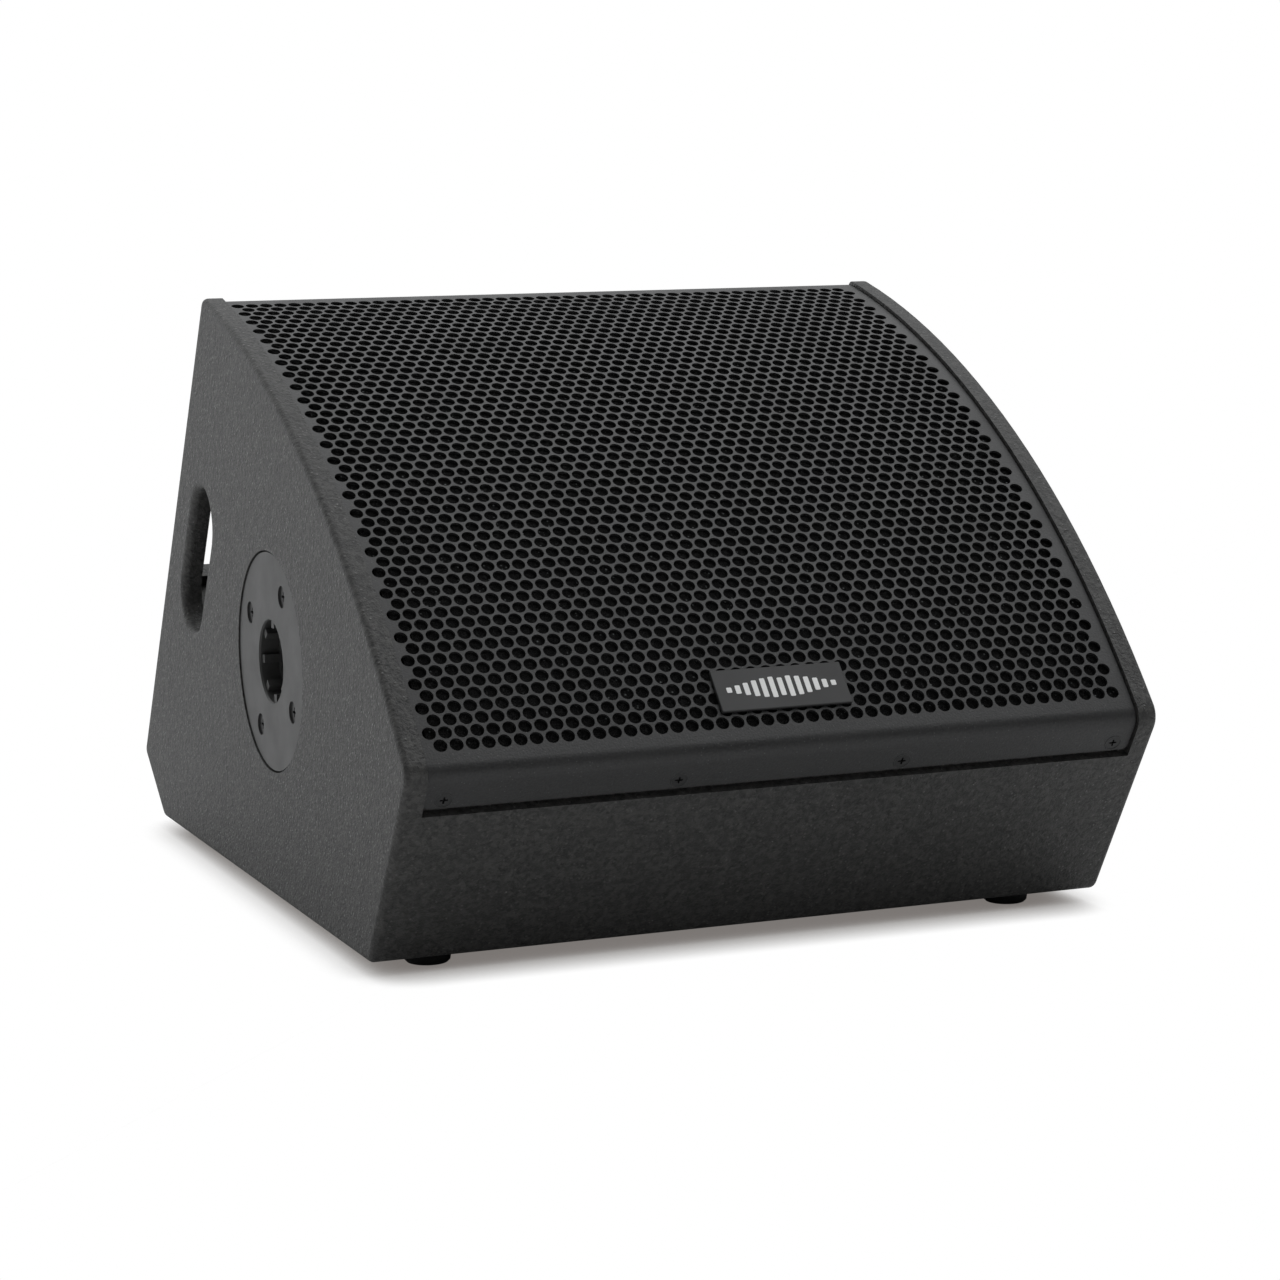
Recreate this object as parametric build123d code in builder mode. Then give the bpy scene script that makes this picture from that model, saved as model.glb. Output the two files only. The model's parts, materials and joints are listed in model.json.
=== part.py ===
from build123d import *
import math
import os

os.makedirs("parts", exist_ok=True)

# Stage monitor wedge: a plywood floor monitor with a curved perforated grille, a 12 inch coaxial
# loudspeaker and a built-in amplifier in a recess behind.
# Frame: +X to the right of someone who faces the grille, -Y towards that person, +Z up. The origin is
# on the floor under the middle of the cabinet. Side profiles are drawn in (u, v): u runs from the foot
# of the front panel to the rear, and v runs up from the underside of the bottom panel.

# ------------------------------------------------------------------ driving dimensions, mm and degrees
WIDTH = 430.0                # over both side panels
PLY = 12.0                   # plywood of the cabinet
EDGE_ROUND = 3.6             # outer edges of the side panels
FRONT = (211.0, 1.8)         # a side of the profile: angle of its outward normal, distance from (0, 0)
BOTTOM = (270.0, 0.0)
CHAMFER = (-51.0, 257.4)
REAR = (28.7, 413.7)
ARC_CENTRE = Vector(428.8, -298.0)
ARC_RADIUS = 642.0           # curve of the grille side
CORNER_ROUNDS = (12.0, 8.0, 7.0, 5.5, 5.0)     # nose, front foot, rear foot, rear knee, top

FOOT_HEIGHT = 9.0
FOOT_RADIUS = 13.0
FOOT_X = 173.0
FOOT_U = (28.0, 372.0)       # front and rear pairs

GRILLE_INSET = 2.0           # sheet surface below the side panels' profile
GRILLE_SHEET = 1.5
GRILLE_GAP = 0.8             # between the sheet and each side panel
FOAM = 4.0
FOAM_SPARE = 0.3             # between the sheet and the foam
FOAM_ENDS = (40.6, 76.6)     # arc angles where the foam starts and stops
FLANGE_FOOT = 103.6          # height up the front panel where the grille's front flange ends
GROOVE_FOOT = 100.2          # lower edge of the shadow groove under that flange
GROOVE_DEPTH = 5.0
NOSE_STOP = 116.0            # top end of the front panel, inside the grille's nose bend
REAR_FLANGE = 22.0
GRILLE_SCREW_X = (-192.0, -64.0, 64.0, 192.0)
FRONT_SCREW_HEIGHT = 108.9
REAR_SCREW_DROP = 14.0

BAFFLE_SETBACK = 14.0        # front face of the baffle behind the chord of the arc
BAFFLE_PLY = 15.0
DRIVER_CUTOUT = 141.0
DRIVER_SCREW_RADIUS = 146.0
DRIVER_SCREWS = 8
PORT_RADIUS = 26.0
PORT_WALL = 2.0
PORT_LENGTH = 105.0
PORT_X = 165.0
PORT_DROP = 150.0            # from the loudspeaker's axis towards the nose

SLOT_CENTRE = (316.6, 172.4)
SLOT_LENGTH = 94.0
SLOT_WIDTH = 42.0
SLOT_ROUND = 4.5

CUP_CENTRE = (167.5, 133.4)
CUP_FLANGE_RADIUS = 61.0
CUP_FLANGE = 3.2
CUP_RECESS = 4.0
CUP_SCREW_RADIUS = 45.0
CUP_MOUTH_RADIUS = 23.6
CUP_BORE_RADIUS = 18.25      # takes a 35 mm pole
CUP_BORE_TOP = 12.0
CUP_BORE_END = 88.0
CUP_WALL_RADIUS = 27.0
CUP_RIBS = 8

RECESS_DEPTH = 80.0          # rear recess that holds the amplifier panel
RECESS_FLOOR = -50.0         # heights in the recess run up the rear face from the foot of its normal
RECESS_LIP = -43.0
RECESS_CEILING = 58.0
PLATE = (350.0, 104.0, 3.0)
PLATE_CENTRE = 4.0
PLATE_CUTOUT = (320.0, 84.0)
PLATE_SCREWS = (166.0, 47.0)
BOARD_BACK = 20.0            # rear face of the circuit board behind the plate's outer face

BADGE = (75.0, 25.7, 2.0)
BADGE_ARC = 42.63            # place of the badge's middle on the arc, degrees

HALF_WIDTH = WIDTH / 2
HALF_INNER = HALF_WIDTH - PLY
NOSE, FRONT_FOOT, REAR_FOOT, REAR_KNEE, TOP = range(5)


# ------------------------------------------------------------------ the side profile
def direction(angle):
    return Vector(math.cos(math.radians(angle)), math.sin(math.radians(angle)))


def meet(first, second):
    """Point where two straight sides of the profile cross."""
    (angle_1, distance_1), (angle_2, distance_2) = first, second
    spread = math.sin(math.radians(angle_2 - angle_1))
    normal_1 = direction(angle_1)
    normal_2 = direction(angle_2)
    u = (distance_1 * normal_2.Y - distance_2 * normal_1.Y) / spread
    v = (distance_2 * normal_1.X - distance_1 * normal_2.X) / spread
    return Vector(u, v)


def meet_arc(side, radius, sign):
    """Point where a straight side crosses the arc, on the side of the arc that sign tells."""
    angle, distance = side
    normal = direction(angle)
    along = direction(angle + 90)
    reach = math.sqrt(radius**2 - (distance - normal.dot(ARC_CENTRE)) ** 2)
    return normal * distance + along * (along.dot(ARC_CENTRE) + sign * reach)


def corners(inset):
    """The five sharp corners of the profile with every side moved inwards by inset."""
    front, bottom, chamfer_side, rear = [
        (angle, distance - inset) for angle, distance in (FRONT, BOTTOM, CHAMFER, REAR)
    ]
    radius = ARC_RADIUS - inset
    return [
        meet_arc(front, radius, -1),
        meet(front, bottom),
        meet(bottom, chamfer_side),
        meet(chamfer_side, rear),
        meet_arc(rear, radius, 1),
    ]


def on_arc(angle, inset=0.0):
    """Point on the arc, at an angle above the horizontal as seen from its centre."""
    return ARC_CENTRE + direction(180 - angle) * (ARC_RADIUS - inset)


def outline(inset):
    """Face of the side profile, every side moved inwards by inset, with its corners rounded."""
    points = corners(inset)
    chord_middle = (points[NOSE] + points[TOP]) / 2
    crown = ARC_CENTRE + (chord_middle - ARC_CENTRE).normalized() * (ARC_RADIUS - inset)
    with BuildSketch() as face:
        with BuildLine():
            Polyline(*points)
            ThreePointArc(points[TOP], crown, points[NOSE])
        make_face()
        for point, radius in zip(points, CORNER_ROUNDS):
            fillet(face.vertices().sort_by_distance(point)[0], max(radius - inset, 1.0))
    return face.sketch


PROFILE = outline(0)
INTERIOR = outline(PLY)
OUTER = corners(0)
INNER = corners(PLY)
MIDDLE_U = PROFILE.bounding_box().center().X


def place(x, point):
    """Point of the row frame for a profile point."""
    return (x, point.X - MIDDLE_U, point.Y + FOOT_HEIGHT)


def section(x):
    """Plane across X whose own coordinates are the profile's (u, v)."""
    return Plane(origin=(x, -MIDDLE_U, FOOT_HEIGHT), x_dir=(0, 1, 0), z_dir=(1, 0, 0))


def face_plane(x, point, angle):
    """Plane at a profile point, facing along the profile direction angle, with its x along +X."""
    normal = direction(angle)
    return Plane(origin=place(x, point), x_dir=(1, 0, 0), z_dir=(0, normal.X, normal.Y))


def on_front(height, depth=0.0):
    """Profile point a height up the front panel from its foot, and a depth inside its face."""
    return OUTER[FRONT_FOOT] + direction(FRONT[0] - 90) * height - direction(FRONT[0]) * depth


def on_rear(height, depth=0.0):
    """Profile point a height up the rear face from the foot of its normal, and a depth inside it."""
    return direction(REAR[0]) * (REAR[1] - depth) + direction(REAR[0] + 90) * height


CHORD = (OUTER[TOP] - OUTER[NOSE]).normalized()
CHORD_ANGLE = math.degrees(math.atan2(CHORD.Y, CHORD.X))
CHORD_MIDDLE = (OUTER[TOP] + OUTER[NOSE]) / 2
TOP_HEIGHT = OUTER[TOP].dot(direction(REAR[0] + 90))


def on_chord(along, depth=0.0):
    """Profile point along the chord of the arc from its middle, and a depth inside it."""
    return CHORD_MIDDLE + CHORD * along - direction(CHORD_ANGLE + 90) * depth


def write(piece, label):
    piece.part.label = label
    export_step(piece.part, f"parts/{label}.step")


# ------------------------------------------------------------------ fasteners
def turned(points):
    """Solid of revolution about Z from its outline in (radius, height)."""
    with BuildPart() as body:
        with BuildSketch(Plane.XZ):
            with BuildLine():
                Polyline(*points, close=True)
            make_face()
        revolve(axis=Axis.Z)
    return body.part


def countersunk(head, shank, length, spare=0.0):
    """Outline of a countersunk screw pointing down, its flat face at height 0."""
    cone_foot = -(head - shank) - 0.3
    return [
        (0, 0),
        (head + spare, 0),
        (head + spare, -0.3),
        (shank + spare, cone_foot),
        (shank + spare, -length - spare),
        (0, -length - spare),
    ]


def pan_head(head, height, shank, length, spare=0.0):
    """Outline of a pan-head screw pointing down, its head standing on height 0."""
    return [
        (0, height),
        (head * 0.75, height),
        (head, height * 0.55),
        (head, 0),
        (shank + spare, 0),
        (shank + spare, -length - spare),
        (0, -length - spare),
    ]


def cross_drive(screw, size, top):
    """Screw with a cross recess of a given size sunk into its head from height top."""
    with BuildPart() as driven:
        add(screw)
        with BuildSketch(Plane.XY.offset(top)):
            Rectangle(size, size * 0.24)
            Rectangle(size * 0.24, size)
        extrude(amount=-size * 0.36, mode=Mode.SUBTRACT)
    return driven.part


def copies(label, piece, planes):
    """One node that holds a copy of piece on every plane."""
    with BuildPart() as group:
        with Locations(*planes):
            add(piece)
    write(group, label)


GRILLE_SCREW = (4.4, 2.0, 9.0)          # head radius, shank radius, length
CUP_SCREW = (5.2, 2.2, 22.0)
FOOT_SCREW = (4.6, 2.6, 2.1, 15.0)       # head radius, head height, shank radius, length
DRIVER_SCREW = (4.8, 3.2, 2.4, 19.0)
PLATE_SCREW = (3.4, 2.2, 1.6, 12.0)
FIT = 0.15

front_screw_planes = [
    face_plane(x, on_front(FRONT_SCREW_HEIGHT, GRILLE_INSET), FRONT[0]) for x in GRILLE_SCREW_X
]
rear_screw_planes = [
    face_plane(x, on_rear(TOP_HEIGHT - REAR_SCREW_DROP, GRILLE_INSET), REAR[0]) for x in GRILLE_SCREW_X
]
foot_planes = [
    Plane(origin=(x, u - MIDDLE_U, FOOT_HEIGHT), x_dir=(1, 0, 0), z_dir=(0, 0, -1))
    for u in FOOT_U
    for x in (-FOOT_X, FOOT_X)
]
grille_screw = turned(countersunk(*GRILLE_SCREW))
grille_screw_hole = turned(countersunk(*GRILLE_SCREW, spare=FIT))
copies("grille_screws_front", cross_drive(grille_screw, 4.4, 0), front_screw_planes)
copies("grille_screws_rear", cross_drive(grille_screw, 4.4, 0), rear_screw_planes)


# ------------------------------------------------------------------ side panels
CUP_POINT = Vector(*CUP_CENTRE)


def side_panel(side):
    """Side panel with its hand slot; the left one also takes the pole cup."""
    with BuildPart() as panel:
        with BuildSketch(section(side * HALF_WIDTH)):
            add(PROFILE)
        extrude(amount=-side * PLY)
        outer_face = panel.faces().filter_by(Axis.X).sort_by(Axis.X)[0 if side < 0 else -1]
        fillet(outer_face.edges(), EDGE_ROUND)
        with BuildSketch(section(side * HALF_WIDTH)):
            with Locations(SLOT_CENTRE):
                SlotOverall(SLOT_LENGTH, SLOT_WIDTH, rotation=REAR[0] + 90)
        extrude(amount=-side * PLY, mode=Mode.SUBTRACT)
        outer_face = panel.faces().filter_by(Axis.X).sort_by(Axis.X)[0 if side < 0 else -1]
        fillet(outer_face.inner_wires()[0].edges(), SLOT_ROUND)
        if side < 0:
            with Locations(Plane(origin=place(-HALF_WIDTH, CUP_POINT), z_dir=(-1, 0, 0))):
                CounterBoreHole(CUP_WALL_RADIUS + 1.0, CUP_FLANGE_RADIUS + 1.0, CUP_RECESS)
            with Locations(*cup_screw_planes):
                add(cup_screw_hole, mode=Mode.SUBTRACT)
    return panel


def cup_plane(depth):
    """Plane across the pole cup at a depth inside the left side panel's face."""
    origin = place(-HALF_WIDTH + depth, CUP_POINT)
    return Plane(origin=origin, x_dir=(0, 1, 0), z_dir=(-1, 0, 0))


CUP_FACE = CUP_RECESS - CUP_FLANGE
CUP_SCREW_SINK = 1.2
cup_screw = turned(countersunk(*CUP_SCREW))
cup_screw_hole = turned(countersunk(*CUP_SCREW, spare=FIT))
cup_screw_planes = [
    cup_plane(CUP_FACE + CUP_SCREW_SINK) * Pos(
        CUP_SCREW_RADIUS * direction(angle).X, CUP_SCREW_RADIUS * direction(angle).Y
    )
    for angle in (-30, 60, 150, 240)
]
copies("pole_cup_screws", cross_drive(cup_screw, 5.4, 0), cup_screw_planes)
write(side_panel(-1), "side_panel_left")
write(side_panel(1), "side_panel_right")

# ------------------------------------------------------------------ pole cup
with BuildPart() as pole_cup:
    with BuildSketch(Plane(origin=place(-HALF_WIDTH, CUP_POINT), x_dir=(0, 1, 0), z_dir=(0, 0, 1))):
        with BuildLine():
            Polyline(
                (0, -CUP_BORE_END),
                (CUP_BORE_RADIUS, -CUP_BORE_END),
                (CUP_BORE_RADIUS, -CUP_BORE_TOP),
                (CUP_MOUTH_RADIUS - 1.1, -CUP_BORE_TOP),
                (CUP_MOUTH_RADIUS - 0.6, -CUP_FACE - 1.0),
                (CUP_MOUTH_RADIUS, -CUP_FACE),
                (CUP_FLANGE_RADIUS, -CUP_FACE),
                (CUP_FLANGE_RADIUS, -CUP_RECESS),
                (CUP_WALL_RADIUS, -CUP_RECESS),
                (CUP_WALL_RADIUS, -CUP_BORE_TOP - 6),
                (CUP_BORE_RADIUS + 3.2, -CUP_BORE_TOP - 14),
                (CUP_BORE_RADIUS + 3.2, -CUP_BORE_END - 4),
                (0, -CUP_BORE_END - 4),
                close=True,
            )
        make_face()
    revolve(axis=Axis(place(-HALF_WIDTH, CUP_POINT), (-1, 0, 0)))
    with BuildSketch(cup_plane(CUP_FACE + 1.8)):
        with PolarLocations((CUP_BORE_RADIUS + CUP_MOUTH_RADIUS) / 2, CUP_RIBS, start_angle=4):
            Rectangle(CUP_MOUTH_RADIUS - CUP_BORE_RADIUS - 0.4, 4.6)
    extrude(until=Until.NEXT, dir=(1, 0, 0))
    with Locations(*cup_screw_planes):
        add(cup_screw_hole, mode=Mode.SUBTRACT)
        Cylinder(6.2, 4, align=(Align.CENTER, Align.CENTER, Align.MIN), mode=Mode.SUBTRACT)
write(pole_cup, "pole_cup")


# ------------------------------------------------------------------ boards across the cabinet
def board(*points, inside=PROFILE, cuts=(), planes=(), hole=None):
    """Board across the inner width: a polygon in the profile, trimmed to a face, less some polygons."""
    with BuildPart() as piece:
        with BuildSketch(section(-HALF_INNER)):
            with BuildLine():
                Polyline(*points, close=True)
            make_face()
            add(inside, mode=Mode.INTERSECT)
            for cut in cuts:
                with BuildLine():
                    Polyline(*cut, close=True)
                make_face(mode=Mode.SUBTRACT)
        extrude(amount=2 * HALF_INNER)
        if planes:
            with Locations(*planes):
                add(hole, mode=Mode.SUBTRACT)
    return piece


def strip(place_on, low, high, near, far):
    """Four corners of a strip, between two heights and two depths on one face of the profile."""
    return place_on(low, near), place_on(high, near), place_on(high, far), place_on(low, far)


UNDER_SHEET = GRILLE_INSET + GRILLE_SHEET
FOAM_FACE = UNDER_SHEET + FOAM_SPARE
UNDER_FOAM = UNDER_SHEET + FOAM + 1.0
REAR_FLANGE_FOOT = TOP_HEIGHT - REAR_FLANGE
foot_screw_hole = turned(pan_head(*FOOT_SCREW, spare=FIT))

write(
    board(
        OUTER[FRONT_FOOT], OUTER[REAR_FOOT], INNER[REAR_FOOT], INNER[FRONT_FOOT],
        planes=foot_planes, hole=foot_screw_hole,
    ),
    "bottom_panel",
)
write(
    board(OUTER[REAR_FOOT], OUTER[REAR_KNEE], INNER[REAR_KNEE], INNER[REAR_FOOT]),
    "rear_chamfer_panel",
)
with BuildSketch() as trimmed_profile:
    add(PROFILE)
    with Locations(ARC_CENTRE):
        Circle(ARC_RADIUS - UNDER_FOAM, mode=Mode.INTERSECT)
TRIMMED = trimmed_profile.sketch
write(
    board(
        OUTER[NOSE], OUTER[FRONT_FOOT], INNER[FRONT_FOOT], INNER[NOSE],
        inside=TRIMMED,
        cuts=[
            strip(on_front, FLANGE_FOOT - 1, 150, -5, UNDER_SHEET),
            strip(on_front, GROOVE_FOOT, FLANGE_FOOT, -5, GROOVE_DEPTH),
            strip(on_front, NOSE_STOP, 150, -5, 20),
        ],
        planes=front_screw_planes, hole=grille_screw_hole,
    ),
    "lower_front_panel",
)
write(
    board(OUTER[REAR_KNEE], on_rear(RECESS_LIP), on_rear(RECESS_LIP, PLY), INNER[REAR_KNEE]),
    "rear_lower_panel",
)
write(
    board(
        on_rear(RECESS_CEILING), OUTER[TOP], INNER[TOP], on_rear(RECESS_CEILING, PLY),
        inside=TRIMMED,
        cuts=[strip(on_rear, REAR_FLANGE_FOOT - 1, 200, -5, UNDER_SHEET)],
        planes=rear_screw_planes, hole=grille_screw_hole,
    ),
    "rear_upper_panel",
)
for name, low in (("recess_floor", RECESS_FLOOR - PLY), ("recess_top", RECESS_CEILING)):
    write(board(*strip(on_rear, low, low + PLY, PLY, RECESS_DEPTH + PLY)), name)

# ------------------------------------------------------------------ grille, foam and badge
FULL = 700.0
GRILLE_WIDTH = 2 * (HALF_INNER - GRILLE_GAP)


def skin(near, far, zone, width):
    """Layer that follows the profile between two insets, kept inside a zone polygon."""
    with BuildPart() as layer:
        with BuildSketch(section(-width / 2)):
            add(outline(near))
            add(outline(far), mode=Mode.SUBTRACT)
            with BuildLine():
                Polyline(*zone, close=True)
            make_face(mode=Mode.INTERSECT)
        extrude(amount=width)
    return layer


grille_zone = [
    on_front(FLANGE_FOOT, -20),
    on_front(FLANGE_FOOT, 30),
    on_rear(REAR_FLANGE_FOOT, 30),
    on_rear(REAR_FLANGE_FOOT, -20),
    on_rear(FULL, -20),
    on_front(FULL, -20),
]
with BuildPart() as grille:
    add(skin(GRILLE_INSET, UNDER_SHEET, grille_zone, GRILLE_WIDTH).part)
    with Locations(*front_screw_planes, *rear_screw_planes):
        add(grille_screw_hole, mode=Mode.SUBTRACT)
write(grille, "grille")

foam_zone = [
    on_arc(FOAM_ENDS[0], 60),
    on_arc(FOAM_ENDS[0], -30),
    on_arc(sum(FOAM_ENDS) / 2, -90),
    on_arc(FOAM_ENDS[1], -30),
    on_arc(FOAM_ENDS[1], 60),
]
write(skin(FOAM_FACE, FOAM_FACE + FOAM, foam_zone, GRILLE_WIDTH - 8), "grille_foam")

BADGE_SINK = 0.05            # clears the sheet's crown, on which the flat badge stands
badge_point = on_arc(BADGE_ARC, GRILLE_INSET - BADGE_SINK)
with BuildPart() as badge:
    with BuildSketch(face_plane(0, badge_point, 180 - BADGE_ARC)):
        RectangleRounded(BADGE[0], BADGE[1], 0.8)
    extrude(amount=BADGE[2])
    chamfer(badge.faces().sort_by(Axis.Y)[0].edges(), 0.4)
write(badge, "badge")

# ------------------------------------------------------------------ feet
foot_screw = cross_drive(turned(pan_head(*FOOT_SCREW)), 4.6, FOOT_SCREW[1])
FOOT_FLOOR = 3.6             # rubber under the screw's head
foot_screw_planes = [plane.offset(FOOT_FLOOR) for plane in foot_planes]
with BuildPart() as foot:
    with BuildSketch(Plane.XZ):
        with BuildLine():
            Polyline(
                (FOOT_SCREW[2] + FIT, 0),
                (FOOT_RADIUS, 0),
                (FOOT_RADIUS, 2),
                (FOOT_RADIUS - 0.8, FOOT_HEIGHT - 1.2),
                (FOOT_RADIUS - 2.0, FOOT_HEIGHT),
                (FOOT_SCREW[0] + 1.2, FOOT_HEIGHT),
                (FOOT_SCREW[0] + 0.6, FOOT_FLOOR),
                (FOOT_SCREW[2] + FIT, FOOT_FLOOR),
                close=True,
            )
        make_face()
    revolve(axis=Axis.Z)
foot_names = ("foot_front_left", "foot_front_right", "foot_rear_left", "foot_rear_right")
for foot_name, foot_plane in zip(foot_names, foot_planes):
    copies(foot_name, foot.part, [foot_plane])
copies("foot_screws", foot_screw, foot_screw_planes)

# ------------------------------------------------------------------ baffle, ports and loudspeaker
DRIVER = face_plane(0, on_chord(0, BAFFLE_SETBACK), CHORD_ANGLE + 90)
DRIVER_SECTION = Plane(origin=DRIVER.origin, x_dir=DRIVER.x_dir, z_dir=-DRIVER.y_dir)
DRIVER_AXIS = Axis(DRIVER.origin, DRIVER.z_dir)
baffle_strip = strip(on_chord, -300, 300, BAFFLE_SETBACK, BAFFLE_SETBACK + BAFFLE_PLY)
driver_screw_planes = [
    DRIVER * Pos(DRIVER_SCREW_RADIUS * direction(angle).X, DRIVER_SCREW_RADIUS * direction(angle).Y)
    for angle in [22.5 + 360 / DRIVER_SCREWS * turn for turn in range(DRIVER_SCREWS)]
]
port_places = [(-PORT_X, -PORT_DROP), (PORT_X, -PORT_DROP)]

with BuildPart() as baffle:
    add(board(*baffle_strip, inside=INTERIOR).part)
    with BuildSketch(DRIVER.offset(5)):
        Circle(DRIVER_CUTOUT)
        with Locations(*port_places):
            Circle(PORT_RADIUS + PORT_WALL + 0.2)
    extrude(amount=-BAFFLE_PLY - 10, mode=Mode.SUBTRACT)
    with Locations(*driver_screw_planes):
        Cylinder(DRIVER_SCREW[2] + FIT, 60, mode=Mode.SUBTRACT)
write(baffle, "baffle")

for port_name, port_place in zip(("port_tube_left", "port_tube_right"), port_places):
    with BuildPart() as port_tube:
        with BuildSketch(DRIVER.offset(2)):
            with Locations(port_place):
                Circle(PORT_RADIUS + 8)
                Circle(PORT_RADIUS, mode=Mode.SUBTRACT)
        extrude(amount=-2)
        with BuildSketch(DRIVER):
            with Locations(port_place):
                Circle(PORT_RADIUS + PORT_WALL)
                Circle(PORT_RADIUS, mode=Mode.SUBTRACT)
        extrude(amount=-PORT_LENGTH)
    write(port_tube, port_name)

GASKET = 3.0
FRAME_FACE = 7.0             # front of the basket's rim
RIM_INNER = 128.0
RIM_OUTER = 153.0
SPIDER_SEAT = -52.0
BASKET_FOOT = -84.0
COIL_RADIUS = 31.9
CONE_NECK = -40.0
CONE_RADIUS = 122.0


def driver_ring(*outline_points):
    """Loudspeaker part turned about its axis, from its outline in (radius, height)."""
    with BuildPart() as ring:
        with BuildSketch(DRIVER_SECTION):
            with BuildLine():
                Polyline(*outline_points, close=True)
            make_face()
        revolve(axis=DRIVER_AXIS)
    return ring


basket_shell = driver_ring(
    (RIM_INNER, GASKET),
    (134, GASKET),
    (84, BASKET_FOOT + 5),
    (38, BASKET_FOOT + 5),
    (38, BASKET_FOOT),
    (86, BASKET_FOOT),
    (104, SPIDER_SEAT - 3),
    (138, GASKET - 1),
    (138, GASKET),
    (RIM_OUTER, GASKET),
    (RIM_OUTER, FRAME_FACE),
    (RIM_INNER, FRAME_FACE),
)
with BuildPart() as basket:
    add(basket_shell.part)
    with BuildSketch(DRIVER.offset(SPIDER_SEAT + 2)):
        Circle(102)
        Circle(86, mode=Mode.SUBTRACT)
    extrude(amount=-3)
    with BuildSketch(DRIVER.offset(-8)):
        with PolarLocations(115, 6):
            Rectangle(60, 70)
    extrude(amount=-36, mode=Mode.SUBTRACT)
    with Locations(*driver_screw_planes):
        Cylinder(DRIVER_SCREW[2] + 0.3, 60, mode=Mode.SUBTRACT)
write(basket, "woofer_basket")

with BuildPart() as woofer_gasket:
    with BuildSketch(DRIVER):
        Circle(RIM_OUTER - 1)
        Circle(DRIVER_CUTOUT, mode=Mode.SUBTRACT)
        with PolarLocations(DRIVER_SCREW_RADIUS, DRIVER_SCREWS, start_angle=22.5):
            Circle(DRIVER_SCREW[2] + 0.3, mode=Mode.SUBTRACT)
    extrude(amount=GASKET)
write(woofer_gasket, "woofer_gasket")
copies(
    "driver_screws",
    cross_drive(turned(pan_head(*DRIVER_SCREW)), 5.0, DRIVER_SCREW[1]),
    [plane * Pos(0, 0, FRAME_FACE) for plane in driver_screw_planes],
)
write(
    driver_ring(
        (COIL_RADIUS, BASKET_FOOT - 10),
        (COIL_RADIUS + 0.3, BASKET_FOOT - 10),
        (COIL_RADIUS + 0.3, CONE_NECK),
        (70, CONE_NECK + 20),
        (CONE_RADIUS, 0),
        (CONE_RADIUS, 1.4),
        (69.5, CONE_NECK + 21.4),
        (COIL_RADIUS, CONE_NECK + 1.6),
    ),
    "woofer_cone",
)
write(
    driver_ring(
        (COIL_RADIUS + 0.4, BASKET_FOOT - 10),
        (COIL_RADIUS + 1.4, BASKET_FOOT - 10),
        (COIL_RADIUS + 1.4, BASKET_FOOT + 4),
        (COIL_RADIUS + 0.4, BASKET_FOOT + 4),
    ),
    "voice_coil",
)

with BuildPart() as surround:
    with BuildSketch(DRIVER_SECTION):
        with BuildLine():
            Polyline((CONE_RADIUS - 4, 2.7), (CONE_RADIUS - 4, 1.6), (CONE_RADIUS + 1, 1.6))
            ThreePointArc((CONE_RADIUS + 1, 1.6), (129, 11.0), (136, FRAME_FACE + 0.2))
            Polyline((136, FRAME_FACE + 0.2), (141, FRAME_FACE + 0.2), (141, FRAME_FACE + 1.4))
            Line((141, FRAME_FACE + 1.4), (136.6, FRAME_FACE + 1.4))
            ThreePointArc((136.6, FRAME_FACE + 1.4), (128.8, 12.4), (CONE_RADIUS, 2.7))
            Line((CONE_RADIUS, 2.7), (CONE_RADIUS - 4, 2.7))
        make_face()
    revolve(axis=DRIVER_AXIS)
write(surround, "woofer_surround")

SPIDER_ROLLS = 5
SPIDER_OUTER = 98.0
spider_start = COIL_RADIUS + 0.6
roll = (SPIDER_OUTER - 8 - spider_start) / SPIDER_ROLLS
with BuildPart() as spider:
    with BuildSketch(DRIVER_SECTION):
        with BuildLine():
            wave = [
                (spider_start + roll / 2 * step, SPIDER_SEAT + 3.2 + 2.2 * (step % 2))
                for step in range(2 * SPIDER_ROLLS + 1)
            ]
            Polyline(
                *wave,
                (SPIDER_OUTER, SPIDER_SEAT + 3.2),
                (SPIDER_OUTER, SPIDER_SEAT + 2.2),
                *[(radius, height - 1.0) for radius, height in reversed(wave)],
                close=True,
            )
        make_face()
    revolve(axis=DRIVER_AXIS)
write(spider, "woofer_spider")

PLATE_BACK = BASKET_FOOT - 8
MAGNET_BACK = PLATE_BACK - 20
YOKE_BACK = MAGNET_BACK - 8
write(
    driver_ring((34.2, BASKET_FOOT), (72, BASKET_FOOT), (72, PLATE_BACK), (34.2, PLATE_BACK)),
    "magnet_front_plate",
)
write(
    driver_ring((45, PLATE_BACK), (78, PLATE_BACK), (78, MAGNET_BACK), (45, MAGNET_BACK)),
    "magnet_ring",
)
write(
    driver_ring(
        (18, BASKET_FOOT),
        (31, BASKET_FOOT),
        (31, MAGNET_BACK + 2),
        (35, MAGNET_BACK),
        (72, MAGNET_BACK),
        (72, YOKE_BACK),
        (18, YOKE_BACK),
    ),
    "magnet_yoke",
)

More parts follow.
